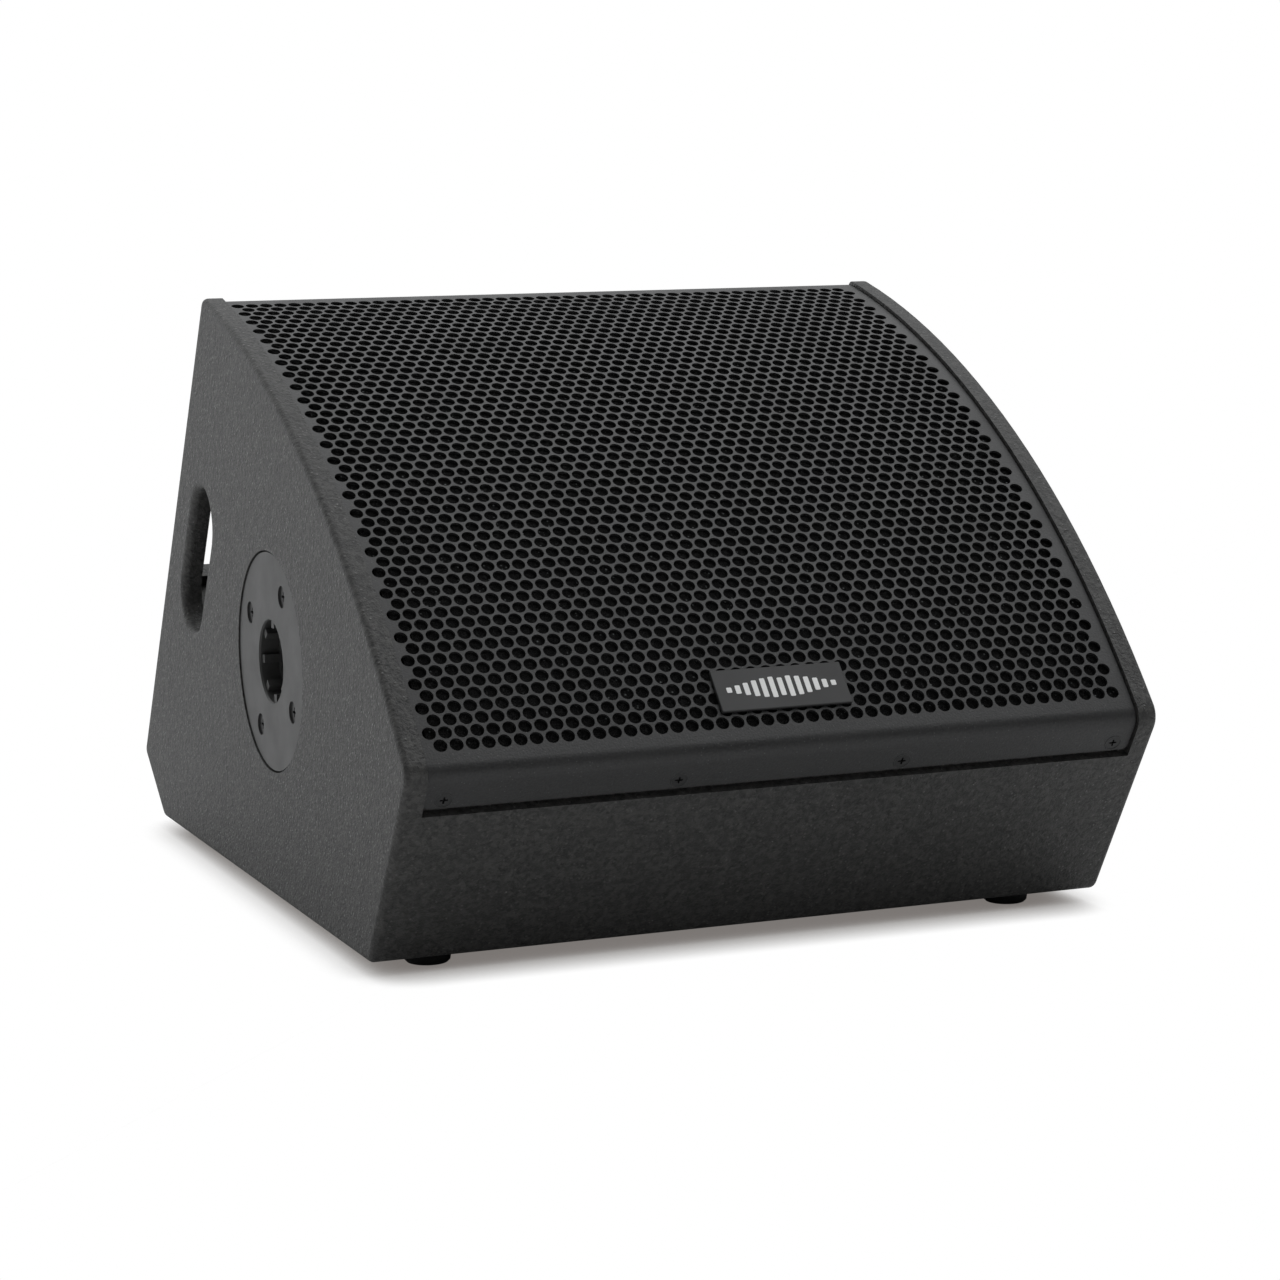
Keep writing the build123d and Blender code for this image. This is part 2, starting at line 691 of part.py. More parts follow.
HORN_THROAT = 12.5
with BuildPart() as hf_horn:
    with BuildSketch(DRIVER_SECTION):
        with BuildLine():
            Line((HORN_THROAT, YOKE_BACK), (HORN_THROAT, BASKET_FOOT + 24))
            Spline(
                (HORN_THROAT, BASKET_FOOT + 24),
                (22, CONE_NECK + 8),
                (50, CONE_NECK + 28),
                tangents=[(0, 1), (1, 0.3)],
            )
            Polyline(
                (50, CONE_NECK + 28),
                (51, CONE_NECK + 26),
                (36, CONE_NECK + 16),
                (26, CONE_NECK + 5.5),
                (17.7, CONE_NECK - 14),
                (17.7, YOKE_BACK),
                (HORN_THROAT, YOKE_BACK),
            )
        make_face()
    revolve(axis=DRIVER_AXIS)
write(hf_horn, "hf_horn")

HF_BACK = YOKE_BACK - 38
write(
    driver_ring(
        (HORN_THROAT, YOKE_BACK),
        (42, YOKE_BACK),
        (44, YOKE_BACK - 3),
        (44, HF_BACK + 4),
        (40, HF_BACK),
        (0, HF_BACK),
        (0, HF_BACK + 3),
        (32, HF_BACK + 3),
        (32, YOKE_BACK - 12),
        (HORN_THROAT, YOKE_BACK - 12),
    ),
    "hf_driver_body",
)
DOME_RADIUS = 21.5
DOME_STEPS = 8
dome = [
    (DOME_RADIUS * step / DOME_STEPS, YOKE_BACK - 16.6 - 8.0 * (1 - (step / DOME_STEPS) ** 2))
    for step in range(DOME_STEPS + 1)
]
write(
    driver_ring(
        *dome,
        (30, YOKE_BACK - 16.6),
        (30, YOKE_BACK - 16.0),
        *[(radius, height + 0.6) for radius, height in reversed(dome)],
    ),
    "hf_diaphragm",
)

# ------------------------------------------------------------------ amplifier panel in the rear recess
PLATE_FACE = RECESS_DEPTH - PLATE[2]
AMP = face_plane(0, on_rear(PLATE_CENTRE, PLATE_FACE), REAR[0])
AMP = Plane(origin=AMP.origin, x_dir=(-1, 0, 0), z_dir=AMP.z_dir)
COMBO_PLACES = [(-148, 14), (-110, 14)]
LINK_PLACE = (-72, 12)
KNOB_PLACES = {
    "knob_input_1": (-148, -28),
    "knob_input_2": (-110, -28),
    "knob_low": (-72, -28),
    "knob_high": (-40, -28),
    "knob_master": (-40, 12),
}
BUTTON_PLACE = (-14, 12)
POSTS = [(-129, -35), (-129, 35), (104, -35), (104, 35)]
LED_PLACES = [(-14, -20), (-14, -28), (-14, -36)]
HEATSINK_X = 50.0
HEATSINK = (84.0, 88.0)
INLET_PLACE = (134, 16)
SWITCH_PLACE = (134, -26)
INLET_BODY = (28.0, 21.0)
SWITCH_HOLE = (26.0, 18.0)
COMBO_BARREL = 11.8
LINK_BARREL = 11.0
BUTTON_RADIUS = 3.0
SHAFT_RADIUS = 3.0


def amp_plane(spot=(0, 0), height=0.0):
    """Plane on the amplifier panel at (across, up) and a height over its face, as seen from behind."""
    return AMP * Pos(spot[0], spot[1], height)


plate_screw_planes = [
    amp_plane((x, y))
    for x in (-PLATE_SCREWS[0], 0, PLATE_SCREWS[0])
    for y in (-PLATE_SCREWS[1], PLATE_SCREWS[1])
]
plate_screw_hole = turned(pan_head(*PLATE_SCREW, spare=FIT))
copies(
    "amp_plate_screws",
    cross_drive(turned(pan_head(*PLATE_SCREW)), 3.8, PLATE_SCREW[1]),
    plate_screw_planes,
)

recess_back_strip = strip(on_rear, RECESS_FLOOR, RECESS_CEILING, RECESS_DEPTH, RECESS_DEPTH + PLY)
with BuildPart() as recess_back:
    add(board(*recess_back_strip).part)
    with BuildSketch(Plane(amp_plane())):
        Rectangle(*PLATE_CUTOUT)
    extrude(amount=-40, mode=Mode.SUBTRACT)
    with Locations(*plate_screw_planes):
        add(plate_screw_hole, mode=Mode.SUBTRACT)
write(recess_back, "recess_back")

with BuildPart() as amp_plate:
    with BuildSketch(Plane(amp_plane(height=-PLATE[2]))):
        RectangleRounded(PLATE[0], PLATE[1], 4)
        with Locations(*COMBO_PLACES):
            Circle(COMBO_BARREL + 0.4, mode=Mode.SUBTRACT)
        with Locations(LINK_PLACE):
            Circle(LINK_BARREL + 0.4, mode=Mode.SUBTRACT)
        with Locations(*KNOB_PLACES.values()):
            Circle(SHAFT_RADIUS + 0.5, mode=Mode.SUBTRACT)
        with Locations(BUTTON_PLACE):
            Circle(BUTTON_RADIUS + 0.35, mode=Mode.SUBTRACT)
        with Locations(*LED_PLACES):
            Circle(1.7, mode=Mode.SUBTRACT)
        with Locations(INLET_PLACE):
            Rectangle(INLET_BODY[0] + 1, INLET_BODY[1] + 1, mode=Mode.SUBTRACT)
        with Locations(SWITCH_PLACE):
            Rectangle(SWITCH_HOLE[0] + 5, SWITCH_HOLE[1] + 5, mode=Mode.SUBTRACT)
    extrude(amount=PLATE[2])
    with BuildSketch(Plane(amp_plane(height=-BOARD_BACK + 1.6))):
        with Locations(*POSTS):
            Circle(3)
    extrude(amount=BOARD_BACK - 1.6 - PLATE[2])
    with Locations(*plate_screw_planes):
        add(plate_screw_hole, mode=Mode.SUBTRACT)
write(amp_plate, "amp_plate")

FIN_COUNT = 12
FIN = 2.2
with BuildPart() as heatsink:
    with BuildSketch(Plane(amp_plane((HEATSINK_X, 0)))):
        Rectangle(*HEATSINK)
    extrude(amount=4)
    with BuildSketch(Plane(amp_plane((HEATSINK_X, 0), 4))):
        with GridLocations((HEATSINK[0] - FIN) / (FIN_COUNT - 1), 0, FIN_COUNT, 1):
            Rectangle(FIN, HEATSINK[1])
    extrude(amount=14, taper=0.8)
write(heatsink, "heatsink")

with BuildPart() as amp_board:
    with BuildSketch(Plane(amp_plane(height=-BOARD_BACK))):
        Rectangle(304, 82)
    extrude(amount=1.6)
    with BuildSketch(Plane(amp_plane((0, 0), -BOARD_BACK))):
        with Locations((-60, -24), (-32, -24), (90, -24), (118, -24)):
            Circle(11)
    extrude(amount=-24)
    with BuildSketch(Plane(amp_plane((20, -12), -BOARD_BACK))):
        Rectangle(56, 34)
    extrude(amount=-16)
    with BuildSketch(Plane(amp_plane((-110, 10), -BOARD_BACK))):
        with GridLocations(16, 18, 4, 2):
            Rectangle(9, 9)
    extrude(amount=-3)
write(amp_board, "amp_board")

TOROID_PLACE = place(110, Vector(300.0, PLY + 0.2))
TOROID = (48.0, 14.0, 42.0, 9.0)         # outer radius, inner radius, height, edge rounding
with BuildPart() as power_transformer:
    with BuildSketch(Plane(origin=TOROID_PLACE)):
        Circle(TOROID[0])
        Circle(TOROID[1], mode=Mode.SUBTRACT)
    extrude(amount=TOROID[2])
    fillet(power_transformer.edges().filter_by(GeomType.CIRCLE), TOROID[3])
write(power_transformer, "power_transformer")


# ------------------------------------------------------------------ connectors and controls
LATCH = (7.4, 3.4)
LATCH_UP = 13.0
COMBO_FACE = 4.5
for number, combo_place in enumerate(COMBO_PLACES, start=1):
    with BuildPart() as combo:
        with BuildSketch(Plane(amp_plane(combo_place))):
            with Locations((0, 2)):
                RectangleRounded(28, 34, 3)
        extrude(amount=COMBO_FACE)
        fillet(combo.faces().sort_by(Axis.Y)[-1].edges(), 0.8)
        with BuildSketch(Plane(amp_plane(combo_place, COMBO_FACE))):
            Circle(10.2)
        extrude(amount=-1.6, mode=Mode.SUBTRACT)
        with BuildSketch(Plane(amp_plane(combo_place))):
            Circle(COMBO_BARREL)
        extrude(amount=-16)
        with BuildSketch(Plane(amp_plane(combo_place, COMBO_FACE))):
            Circle(3.3)
        extrude(amount=-COMBO_FACE - 14, mode=Mode.SUBTRACT)
        with BuildSketch(Plane(amp_plane(combo_place, COMBO_FACE))):
            with PolarLocations(6.6, 3, start_angle=90):
                Circle(1.4)
        extrude(amount=-12, mode=Mode.SUBTRACT)
        with BuildSketch(Plane(amp_plane(combo_place, COMBO_FACE))):
            with Locations((0, LATCH_UP + 1.5)):
                RectangleRounded(LATCH[0] + 0.8, LATCH[1] + 0.8, 0.6)
        extrude(amount=-COMBO_FACE + 0.6, mode=Mode.SUBTRACT)
    write(combo, f"combo_input_{number}")
    with BuildPart() as latch_tab:
        with BuildSketch(Plane(amp_plane(combo_place, 2.6))):
            with Locations((0, LATCH_UP + 1.5)):
                RectangleRounded(LATCH[0], LATCH[1], 0.5)
        extrude(amount=COMBO_FACE - 2.6 + 2.0)
        fillet(latch_tab.faces().sort_by(Axis.Y)[-1].edges(), 0.4)
    write(latch_tab, f"latch_tab_{number}")

with BuildPart() as link_output:
    with BuildSketch(Plane(amp_plane(LINK_PLACE))):
        RectangleRounded(26, 31, 3)
    extrude(amount=2.4)
    with BuildSketch(Plane(amp_plane(LINK_PLACE))):
        Circle(LINK_BARREL)
    extrude(amount=-16)
    with BuildSketch(Plane(amp_plane(LINK_PLACE, 2.4))):
        Circle(9.6)
    extrude(amount=-15, mode=Mode.SUBTRACT)
    with BuildSketch(Plane(amp_plane(LINK_PLACE, -13))):
        with PolarLocations(4.6, 3, start_angle=-90):
            Circle(1.2)
    extrude(amount=11)
write(link_output, "link_output")

with BuildPart() as mains_inlet:
    with BuildSketch(Plane(amp_plane(INLET_PLACE))):
        RectangleRounded(49, 26, 3)
    extrude(amount=3)
    with BuildSketch(Plane(amp_plane(INLET_PLACE))):
        Rectangle(*INLET_BODY)
    extrude(amount=-17)
    with BuildSketch(Plane(amp_plane(INLET_PLACE, 3))):
        RectangleRounded(24.4, 16.6, 3)
        with GridLocations(38, 0, 2, 1):
            Circle(1.9, mode=Mode.ADD)
    extrude(amount=-3, mode=Mode.SUBTRACT)
    with BuildSketch(Plane(amp_plane(INLET_PLACE))):
        RectangleRounded(24.4, 16.6, 3)
    extrude(amount=-14, mode=Mode.SUBTRACT)
    with BuildSketch(Plane(amp_plane(INLET_PLACE, -14))):
        with Locations((-7, -2), (0, 2.4), (7, -2)):
            Rectangle(2, 4)
    extrude(amount=12)
write(mains_inlet, "mains_inlet")

ROCKER_TILT = 10.0
ROCKER_PIVOT = -5.0
with BuildPart() as switch_frame:
    with BuildSketch(Plane(amp_plane(SWITCH_PLACE))):
        RectangleRounded(SWITCH_HOLE[0] + 8, SWITCH_HOLE[1] + 8, 2)
        Rectangle(*SWITCH_HOLE, mode=Mode.SUBTRACT)
    extrude(amount=2.4)
    with BuildSketch(Plane(amp_plane(SWITCH_PLACE))):
        Rectangle(SWITCH_HOLE[0] + 4, SWITCH_HOLE[1] + 4)
        Rectangle(*SWITCH_HOLE, mode=Mode.SUBTRACT)
    extrude(amount=-14)
    with BuildSketch(Plane(amp_plane(SWITCH_PLACE, -14))):
        Rectangle(SWITCH_HOLE[0] + 4, SWITCH_HOLE[1] + 4)
    extrude(amount=-2)
write(switch_frame, "power_switch_frame")

switch_plane = Plane(amp_plane(SWITCH_PLACE, ROCKER_PIVOT))
tilted = Plane(switch_plane * Rotation(0, -ROCKER_TILT, 0))
rocker_section = Plane(origin=tilted.origin, x_dir=tilted.x_dir, z_dir=-tilted.y_dir)
rocker_crown = amp_plane(SWITCH_PLACE, 6).position
with BuildPart() as rocker:
    with BuildSketch(rocker_section):
        with BuildLine():
            Polyline(
                (-11.2, 3),
                (-11.2, 9.2),
                (0, 7.2),
                (11.2, 9.2),
                (11.2, 3),
                (4, -4),
                (-4, -4),
                close=True,
            )
        make_face()
    extrude(amount=SWITCH_HOLE[1] / 2 - 0.6, both=True)
    straight_edges = rocker.edges().filter_by(GeomType.LINE)
    fillet(straight_edges.sort_by_distance(rocker_crown)[:2], 0.4)
write(rocker, "power_rocker")

KNOB_POINTS = [
    (0, 13.5),
    (5.2, 13.5),
    (5.9, 12.8),
    (6.4, 4.2),
    (7.8, 3.4),
    (7.8, 1.2),
    (SHAFT_RADIUS, 1.2),
    (SHAFT_RADIUS, -12),
    (0, -12),
]
with BuildPart() as knob:
    add(turned(KNOB_POINTS))
    with BuildSketch(Plane.XY.offset(13.5)):
        with Locations((0, 3.2)):
            Rectangle(1.1, 5)
    extrude(amount=-0.6, mode=Mode.SUBTRACT)
    with BuildSketch(Plane.XY.offset(4)):
        with PolarLocations(6.7, 18, start_angle=10):
            Circle(0.55)
    extrude(amount=12, mode=Mode.SUBTRACT)
for knob_name, knob_place in KNOB_PLACES.items():
    copies(knob_name, knob.part, [amp_plane(knob_place)])

with BuildPart() as pot_bodies:
    with BuildSketch(Plane(amp_plane(height=-14))):
        with Locations(*KNOB_PLACES.values()):
            RectangleRounded(16, 16, 1.5)
            Circle(SHAFT_RADIUS + 0.3, mode=Mode.SUBTRACT)
    extrude(amount=9)
write(pot_bodies, "control_pots")

BUTTON_POINTS = [
    (0, 4.0),
    (BUTTON_RADIUS - 0.5, 4.0),
    (BUTTON_RADIUS, 3.5),
    (BUTTON_RADIUS, -4.5),
    (BUTTON_RADIUS + 1.6, -4.5),
    (BUTTON_RADIUS + 1.6, -6.0),
    (BUTTON_RADIUS - 1.0, -6.0),
    (BUTTON_RADIUS - 1.0, -9.5),
    (0, -9.5),
]
copies("button_ground_lift", turned(BUTTON_POINTS), [amp_plane(BUTTON_PLACE)])

with BuildPart() as led_lenses:
    for led_place in LED_PLACES:
        with Locations(amp_plane(led_place)):
            Cylinder(1.5, 6, align=(Align.CENTER, Align.CENTER, Align.MAX))
            Sphere(1.5)
write(led_lenses, "led_lenses")

# ------------------------------------------------------------------ wadding on the bottom panel
WADDING = (380.0, 190.0, 22.0)           # width, length, thickness
WADDING_MIDDLE = Vector(140.0, PLY + 0.5)
with BuildPart() as wadding:
    with BuildSketch(Plane(origin=place(0, WADDING_MIDDLE))):
        Rectangle(WADDING[0], WADDING[1])
    extrude(amount=WADDING[2])
write(wadding, "damping_wadding")
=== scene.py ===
import json
import math

import bpy
from mathutils import Matrix, Vector, noise


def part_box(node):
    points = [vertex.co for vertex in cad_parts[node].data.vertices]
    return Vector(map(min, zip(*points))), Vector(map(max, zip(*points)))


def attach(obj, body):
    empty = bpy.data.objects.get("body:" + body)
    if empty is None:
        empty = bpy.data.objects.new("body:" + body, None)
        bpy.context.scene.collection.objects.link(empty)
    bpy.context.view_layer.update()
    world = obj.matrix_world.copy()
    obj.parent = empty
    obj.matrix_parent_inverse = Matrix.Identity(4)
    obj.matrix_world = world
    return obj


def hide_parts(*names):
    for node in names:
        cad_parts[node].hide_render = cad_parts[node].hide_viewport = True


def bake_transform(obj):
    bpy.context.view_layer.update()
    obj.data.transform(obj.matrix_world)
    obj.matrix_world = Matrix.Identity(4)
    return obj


# Looks of the stage monitor wedge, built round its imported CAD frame. Lengths are millimetres where a
# name or a comment says so, and metres in every Blender object.

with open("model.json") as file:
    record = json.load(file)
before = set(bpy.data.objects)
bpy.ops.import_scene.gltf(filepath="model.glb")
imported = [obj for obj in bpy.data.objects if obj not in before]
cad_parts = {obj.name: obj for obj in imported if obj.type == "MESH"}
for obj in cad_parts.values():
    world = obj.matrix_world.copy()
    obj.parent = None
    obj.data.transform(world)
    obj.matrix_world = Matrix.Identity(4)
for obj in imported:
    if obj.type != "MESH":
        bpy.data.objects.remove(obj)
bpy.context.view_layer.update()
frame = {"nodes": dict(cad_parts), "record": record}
NODES = frame["nodes"]
MM = 0.001
CABINET = "cabinet"

# ------------------------------------------------------------------ the side profile, as in the CAD, mm
FRONT = (211.0, 1.8)             # angle of a side's outward normal, distance from the profile's origin
REAR = (28.7, 413.7)
ARC_CENTRE = Vector((428.8, -298.0))
ARC_RADIUS = 642.0
NOSE_ROUND = 12.0
TOP_ROUND = 5.0
FOOT_U = 28.0                    # distance of the front feet behind the profile's origin
foot_low, foot_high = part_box("foot_front_left")
ORIGIN_Y = (foot_low.y + foot_high.y) / 2 - FOOT_U * MM
ORIGIN_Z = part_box("bottom_panel")[0].z


def direction(angle):
    return Vector((math.cos(math.radians(angle)), math.sin(math.radians(angle))))


def angle_of(vector):
    return math.degrees(math.atan2(vector.y, vector.x))


def meet_arc(side, radius, sign):
    """Point where a straight side crosses the arc, on the side of the arc that sign tells."""
    angle, distance = side
    normal = direction(angle)
    along = direction(angle + 90)
    reach = math.sqrt(radius**2 - (distance - normal.dot(ARC_CENTRE)) ** 2)
    return normal * distance + along * (along.dot(ARC_CENTRE) + sign * reach)


def at(x, point):
    """Point of the row frame, in metres, for x and a profile point in mm."""
    return Vector((x * MM, ORIGIN_Y + point.x * MM, ORIGIN_Z + point.y * MM))


FRONT_UP = direction(FRONT[0] - 90)
FRONT_FOOT = direction(FRONT[0]) * FRONT[1] - FRONT_UP * (
    (direction(FRONT[0]) * FRONT[1]).y / FRONT_UP.y
)
REAR_UP = direction(REAR[0] + 90)
NOSE = meet_arc(FRONT, ARC_RADIUS, -1)
TOP = meet_arc(REAR, ARC_RADIUS, 1)
TOP_HEIGHT = TOP.dot(REAR_UP)


def on_front(height, depth=0.0):
    return FRONT_FOOT + FRONT_UP * height - direction(FRONT[0]) * depth


def on_rear(height, depth=0.0):
    return direction(REAR[0]) * (REAR[1] - depth) + REAR_UP * height


def on_arc(angle, depth=0.0):
    return ARC_CENTRE + direction(180 - angle) * (ARC_RADIUS - depth)


# ------------------------------------------------------------------ camera and light
CAMERA_PLACE = Vector((-0.7449, -1.8346, 0.4425))
CAMERA_YAW = math.radians(22.59)
CAMERA_PITCH = math.radians(8.77)
CAMERA_ROLL = math.radians(-0.32)
CAMERA_LENS = 96.15

forward = Vector((
    math.sin(CAMERA_YAW) * math.cos(CAMERA_PITCH),
    math.cos(CAMERA_YAW) * math.cos(CAMERA_PITCH),
    -math.sin(CAMERA_PITCH),
))
level = Vector((math.cos(CAMERA_YAW), -math.sin(CAMERA_YAW), 0))
upward = level.cross(forward)
right = level * math.cos(CAMERA_ROLL) + upward * math.sin(CAMERA_ROLL)
upward = upward * math.cos(CAMERA_ROLL) - level * math.sin(CAMERA_ROLL)
camera = bpy.data.objects.new("camera", bpy.data.cameras.new("camera"))
camera.data.lens = CAMERA_LENS
camera.data.sensor_width = 36
camera.data.clip_end = 60
camera_turn = Matrix((right, upward, -forward)).transposed().to_4x4()
camera.matrix_world = Matrix.Translation(CAMERA_PLACE) @ camera_turn
bpy.context.scene.collection.objects.link(camera)
bpy.context.scene.camera = camera
bpy.context.scene.view_settings.view_transform = "Standard"


world = bpy.data.worlds.new("studio")
bpy.context.scene.world = world
world.use_nodes = True


# ------------------------------------------------------------------ node helpers
def link(tree, target, source):
    """Feeds a socket from another socket, or sets its value."""
    if isinstance(source, bpy.types.NodeSocket):
        tree.links.new(source, target)
    else:
        target.default_value = source


def node(tree, kind, *sources, **settings):
    """Node of a kind, its inputs in order from sources, where None leaves one alone."""
    made = tree.nodes.new("ShaderNode" + kind)
    for key, value in settings.items():
        setattr(made, key, value)
    for target, source in zip(made.inputs, sources):
        if source is not None:
            link(tree, target, source)
    return made


def maths(tree, operation, *sources, clamp=False):
    return node(tree, "Math", *sources, operation=operation, use_clamp=clamp).outputs[0]


def blend_colour(tree, factor, first, second):
    made = tree.nodes.new("ShaderNodeMix")
    made.data_type = "RGBA"
    link(tree, made.inputs[0], factor)
    link(tree, made.inputs[6], first)
    link(tree, made.inputs[7], second)
    return made.outputs[2]


def spread(tree, value, low, high, to_low=0.0, to_high=1.0):
    """Value from low..high onto to_low..to_high, clamped."""
    return node(tree, "MapRange", value, low, high, to_low, to_high).outputs[0]


def grain(tree, place, scale, detail=2.0, rough=0.5, distortion=0.0):
    """Noise of a scale in lumps per metre."""
    made = node(tree, "TexNoise", noise_dimensions="3D")
    link(tree, made.inputs["Vector"], place)
    made.inputs["Scale"].default_value = scale
    made.inputs["Detail"].default_value = detail
    made.inputs["Roughness"].default_value = rough
    made.inputs["Distortion"].default_value = distortion
    return made.outputs[0]


def cells(tree, place, scale, feature="F1", randomness=1.0):
    made = node(tree, "TexVoronoi", feature=feature)
    link(tree, made.inputs["Vector"], place)
    made.inputs["Scale"].default_value = scale
    made.inputs["Randomness"].default_value = randomness
    return made


def grey(value):
    return (value, value, value, 1)


def tinted(colour, share=1.0):
    return (colour[0] * share, colour[1] * share, colour[2] * share, 1)


def new_material(name):
    """(material, its tree, its principled shader, object coordinates)"""
    material = bpy.data.materials.new(name)
    material.use_nodes = True
    tree = material.node_tree
    shader = tree.nodes["Principled BSDF"]
    place = tree.nodes.new("ShaderNodeTexCoord").outputs["Object"]
    return material, tree, shader, place


def bump(tree, shader, *layers):
    """Bumps laid on each other, each a (height, depth in metres)."""
    normal = None
    for height, depth in layers:
        made = tree.nodes.new("ShaderNodeBump")
        made.inputs["Distance"].default_value = depth
        link(tree, made.inputs["Height"], height)
        if normal is not None:
            link(tree, made.inputs["Normal"], normal)
        normal = made.outputs[0]
    link(tree, shader.inputs["Normal"], normal)


def plain(
    name, colour, roughness, metallic=0.0, lump=900.0, depth=0.00006, mottle=0.12, specular=0.5, coat=0.0
):
    """Moulded, painted or metal surface: fine grain, slow mottling, worn patches of gloss."""
    material, tree, shader, place = new_material(name)
    fine = grain(tree, place, lump, 3, 0.6)
    slow = grain(tree, place, 45, 4, 0.6)
    share = maths(tree, "ADD", maths(tree, "MULTIPLY", slow, 0.7), maths(tree, "MULTIPLY", fine, 0.3))
    tone = blend_colour(
        tree, spread(tree, share, 0.35, 0.65), tinted(colour, 1 - mottle), tinted(colour, 1 + mottle)
    )
    link(tree, shader.inputs["Base Color"], tone)
    link(tree, shader.inputs["Roughness"], spread(tree, slow, 0.3, 0.7, roughness - 0.06, roughness + 0.06))
    shader.inputs["Metallic"].default_value = metallic
    shader.inputs["Specular IOR Level"].default_value = specular
    shader.inputs["Coat Weight"].default_value = coat
    bump(tree, shader, (fine, depth))
    return material


# ------------------------------------------------------------------ materials
def specks(tree, place, scale, share, inner, outer):
    """Scattered dots, 1 inside and 0 outside: a share of the cells of a scale has one each."""
    made = cells(tree, place, scale)
    lot = node(tree, "SeparateColor", made.outputs["Color"]).outputs[0]
    chosen = maths(tree, "GREATER_THAN", lot, 1 - share)
    return maths(tree, "MULTIPLY", chosen, spread(tree, made.outputs["Distance"], inner, outer, 1.0, 0.0))


def textured_paint():
    """Hard black structure paint: pebbled skin, mottled in lumps, raised glossy grit, and scattered light
    specks whose lighter colour is painted glint.
    """
    material, tree, shader, place = new_material("textured_paint")
    pebble = grain(tree, place, 620, 2.5, 0.62)
    lumps = grain(tree, place, 300, 2.5, 0.6, 0.5)
    patches = grain(tree, place, 95, 3, 0.6)
    fine = grain(tree, place, 1900, 1.5, 0.6)
    pit, skin = (0.010, 0.010, 0.0097, 1), (0.034, 0.0335, 0.032, 1)
    tone = blend_colour(tree, spread(tree, pebble, 0.36, 0.64), pit, skin)
    tone = blend_colour(tree, spread(tree, lumps, 0.42, 0.62, 0.0, 0.75), tone, (0.072, 0.071, 0.067, 1))
    tone = blend_colour(tree, spread(tree, patches, 0.35, 0.65, 0.0, 0.4), tone, (0.034, 0.0335, 0.032, 1))
    # specks of raised, glossier grit; the lighter colour they get on the next line is painted glint
    grit_and_painted_glints = specks(tree, place, 400, 0.22, 0.10, 0.36)
    tone = blend_colour(tree, grit_and_painted_glints, tone, (0.085, 0.083, 0.079, 1))
    # sparse pale specks: painted glints of light on the paint
    tone = blend_colour(tree, specks(tree, place, 170, 0.10, 0.03, 0.10), tone, (0.22, 0.217, 0.21, 1))
    link(tree, shader.inputs["Base Color"], tone)
    matt = spread(tree, fine, 0.3, 0.7, 0.44, 0.62)
    polish = maths(tree, "MULTIPLY", grit_and_painted_glints, 0.22)
    link(tree, shader.inputs["Roughness"], maths(tree, "SUBTRACT", matt, polish))
    shader.inputs["Specular IOR Level"].default_value = 0.5
    bump(tree, shader, (lumps, 0.0006), (pebble, 0.00055), (grit_and_painted_glints, 0.0003), (fine, 0.00014))
    return material


def powder_coat():
    """Smooth satin black coat on the perforated steel, slightly orange-peeled."""
    material, tree, shader, place = new_material("grille_powder_coat")
    peel = grain(tree, place, 900, 2, 0.5)
    cloud = grain(tree, place, 30, 3, 0.5)
    tone = blend_colour(tree, spread(tree, peel, 0.35, 0.65), grey(0.017), grey(0.028))
    tone = blend_colour(tree, spread(tree, cloud, 0.4, 0.7, 0.0, 0.3), tone, grey(0.034))
    dust = maths(tree, "MULTIPLY", specks(tree, place, 700, 0.12, 0.18, 0.30), 0.3)
    tone = blend_colour(tree, dust, tone, grey(0.15))
    link(tree, shader.inputs["Base Color"], tone)
    link(tree, shader.inputs["Roughness"], spread(tree, cloud, 0.3, 0.7, 0.40, 0.50))
    shader.inputs["Specular IOR Level"].default_value = 0.48
    bump(tree, shader, (peel, 0.00018))
    return material


def foam_material():
    """Open-cell black foam: pores with lit threads between them."""
    material, tree, shader, place = new_material("grille_foam_cells")
    pores = cells(tree, place, 900, "DISTANCE_TO_EDGE")
    thread = spread(tree, pores.outputs["Distance"], 0.02, 0.16, 1.0, 0.0)
    tone = blend_colour(tree, thread, grey(0.009), grey(0.034))
    glint = specks(tree, place, 420, 0.13, 0.10, 0.28)
    tone = blend_colour(tree, glint, tone, (0.20, 0.21, 0.21, 1))
    link(tree, shader.inputs["Base Color"], tone)
    shader.inputs["Roughness"].default_value = 0.95
    shader.inputs["Specular IOR Level"].default_value = 0.05
    bump(tree, shader, (thread, 0.0006))
    return material


def steel_material(name, colour, roughness):
    """Machined or plated steel with fine scratches."""
    material, tree, shader, place = new_material(name)
    stretched = node(tree, "Mapping", place, None, None, (1, 1, 14)).outputs[0]
    lines = grain(tree, stretched, 260, 4, 0.65)
    slow = grain(tree, place, 60, 3)
    tone = blend_colour(tree, spread(tree, lines, 0.3, 0.7), tinted(colour, 0.75), tinted(colour, 1.15))
    link(tree, shader.inputs["Base Color"], tone)
    link(tree, shader.inputs["Roughness"], spread(tree, slow, 0.3, 0.7, roughness - 0.08, roughness + 0.08))
    shader.inputs["Metallic"].default_value = 1.0
    bump(tree, shader, (lines, 0.00003))
    return material


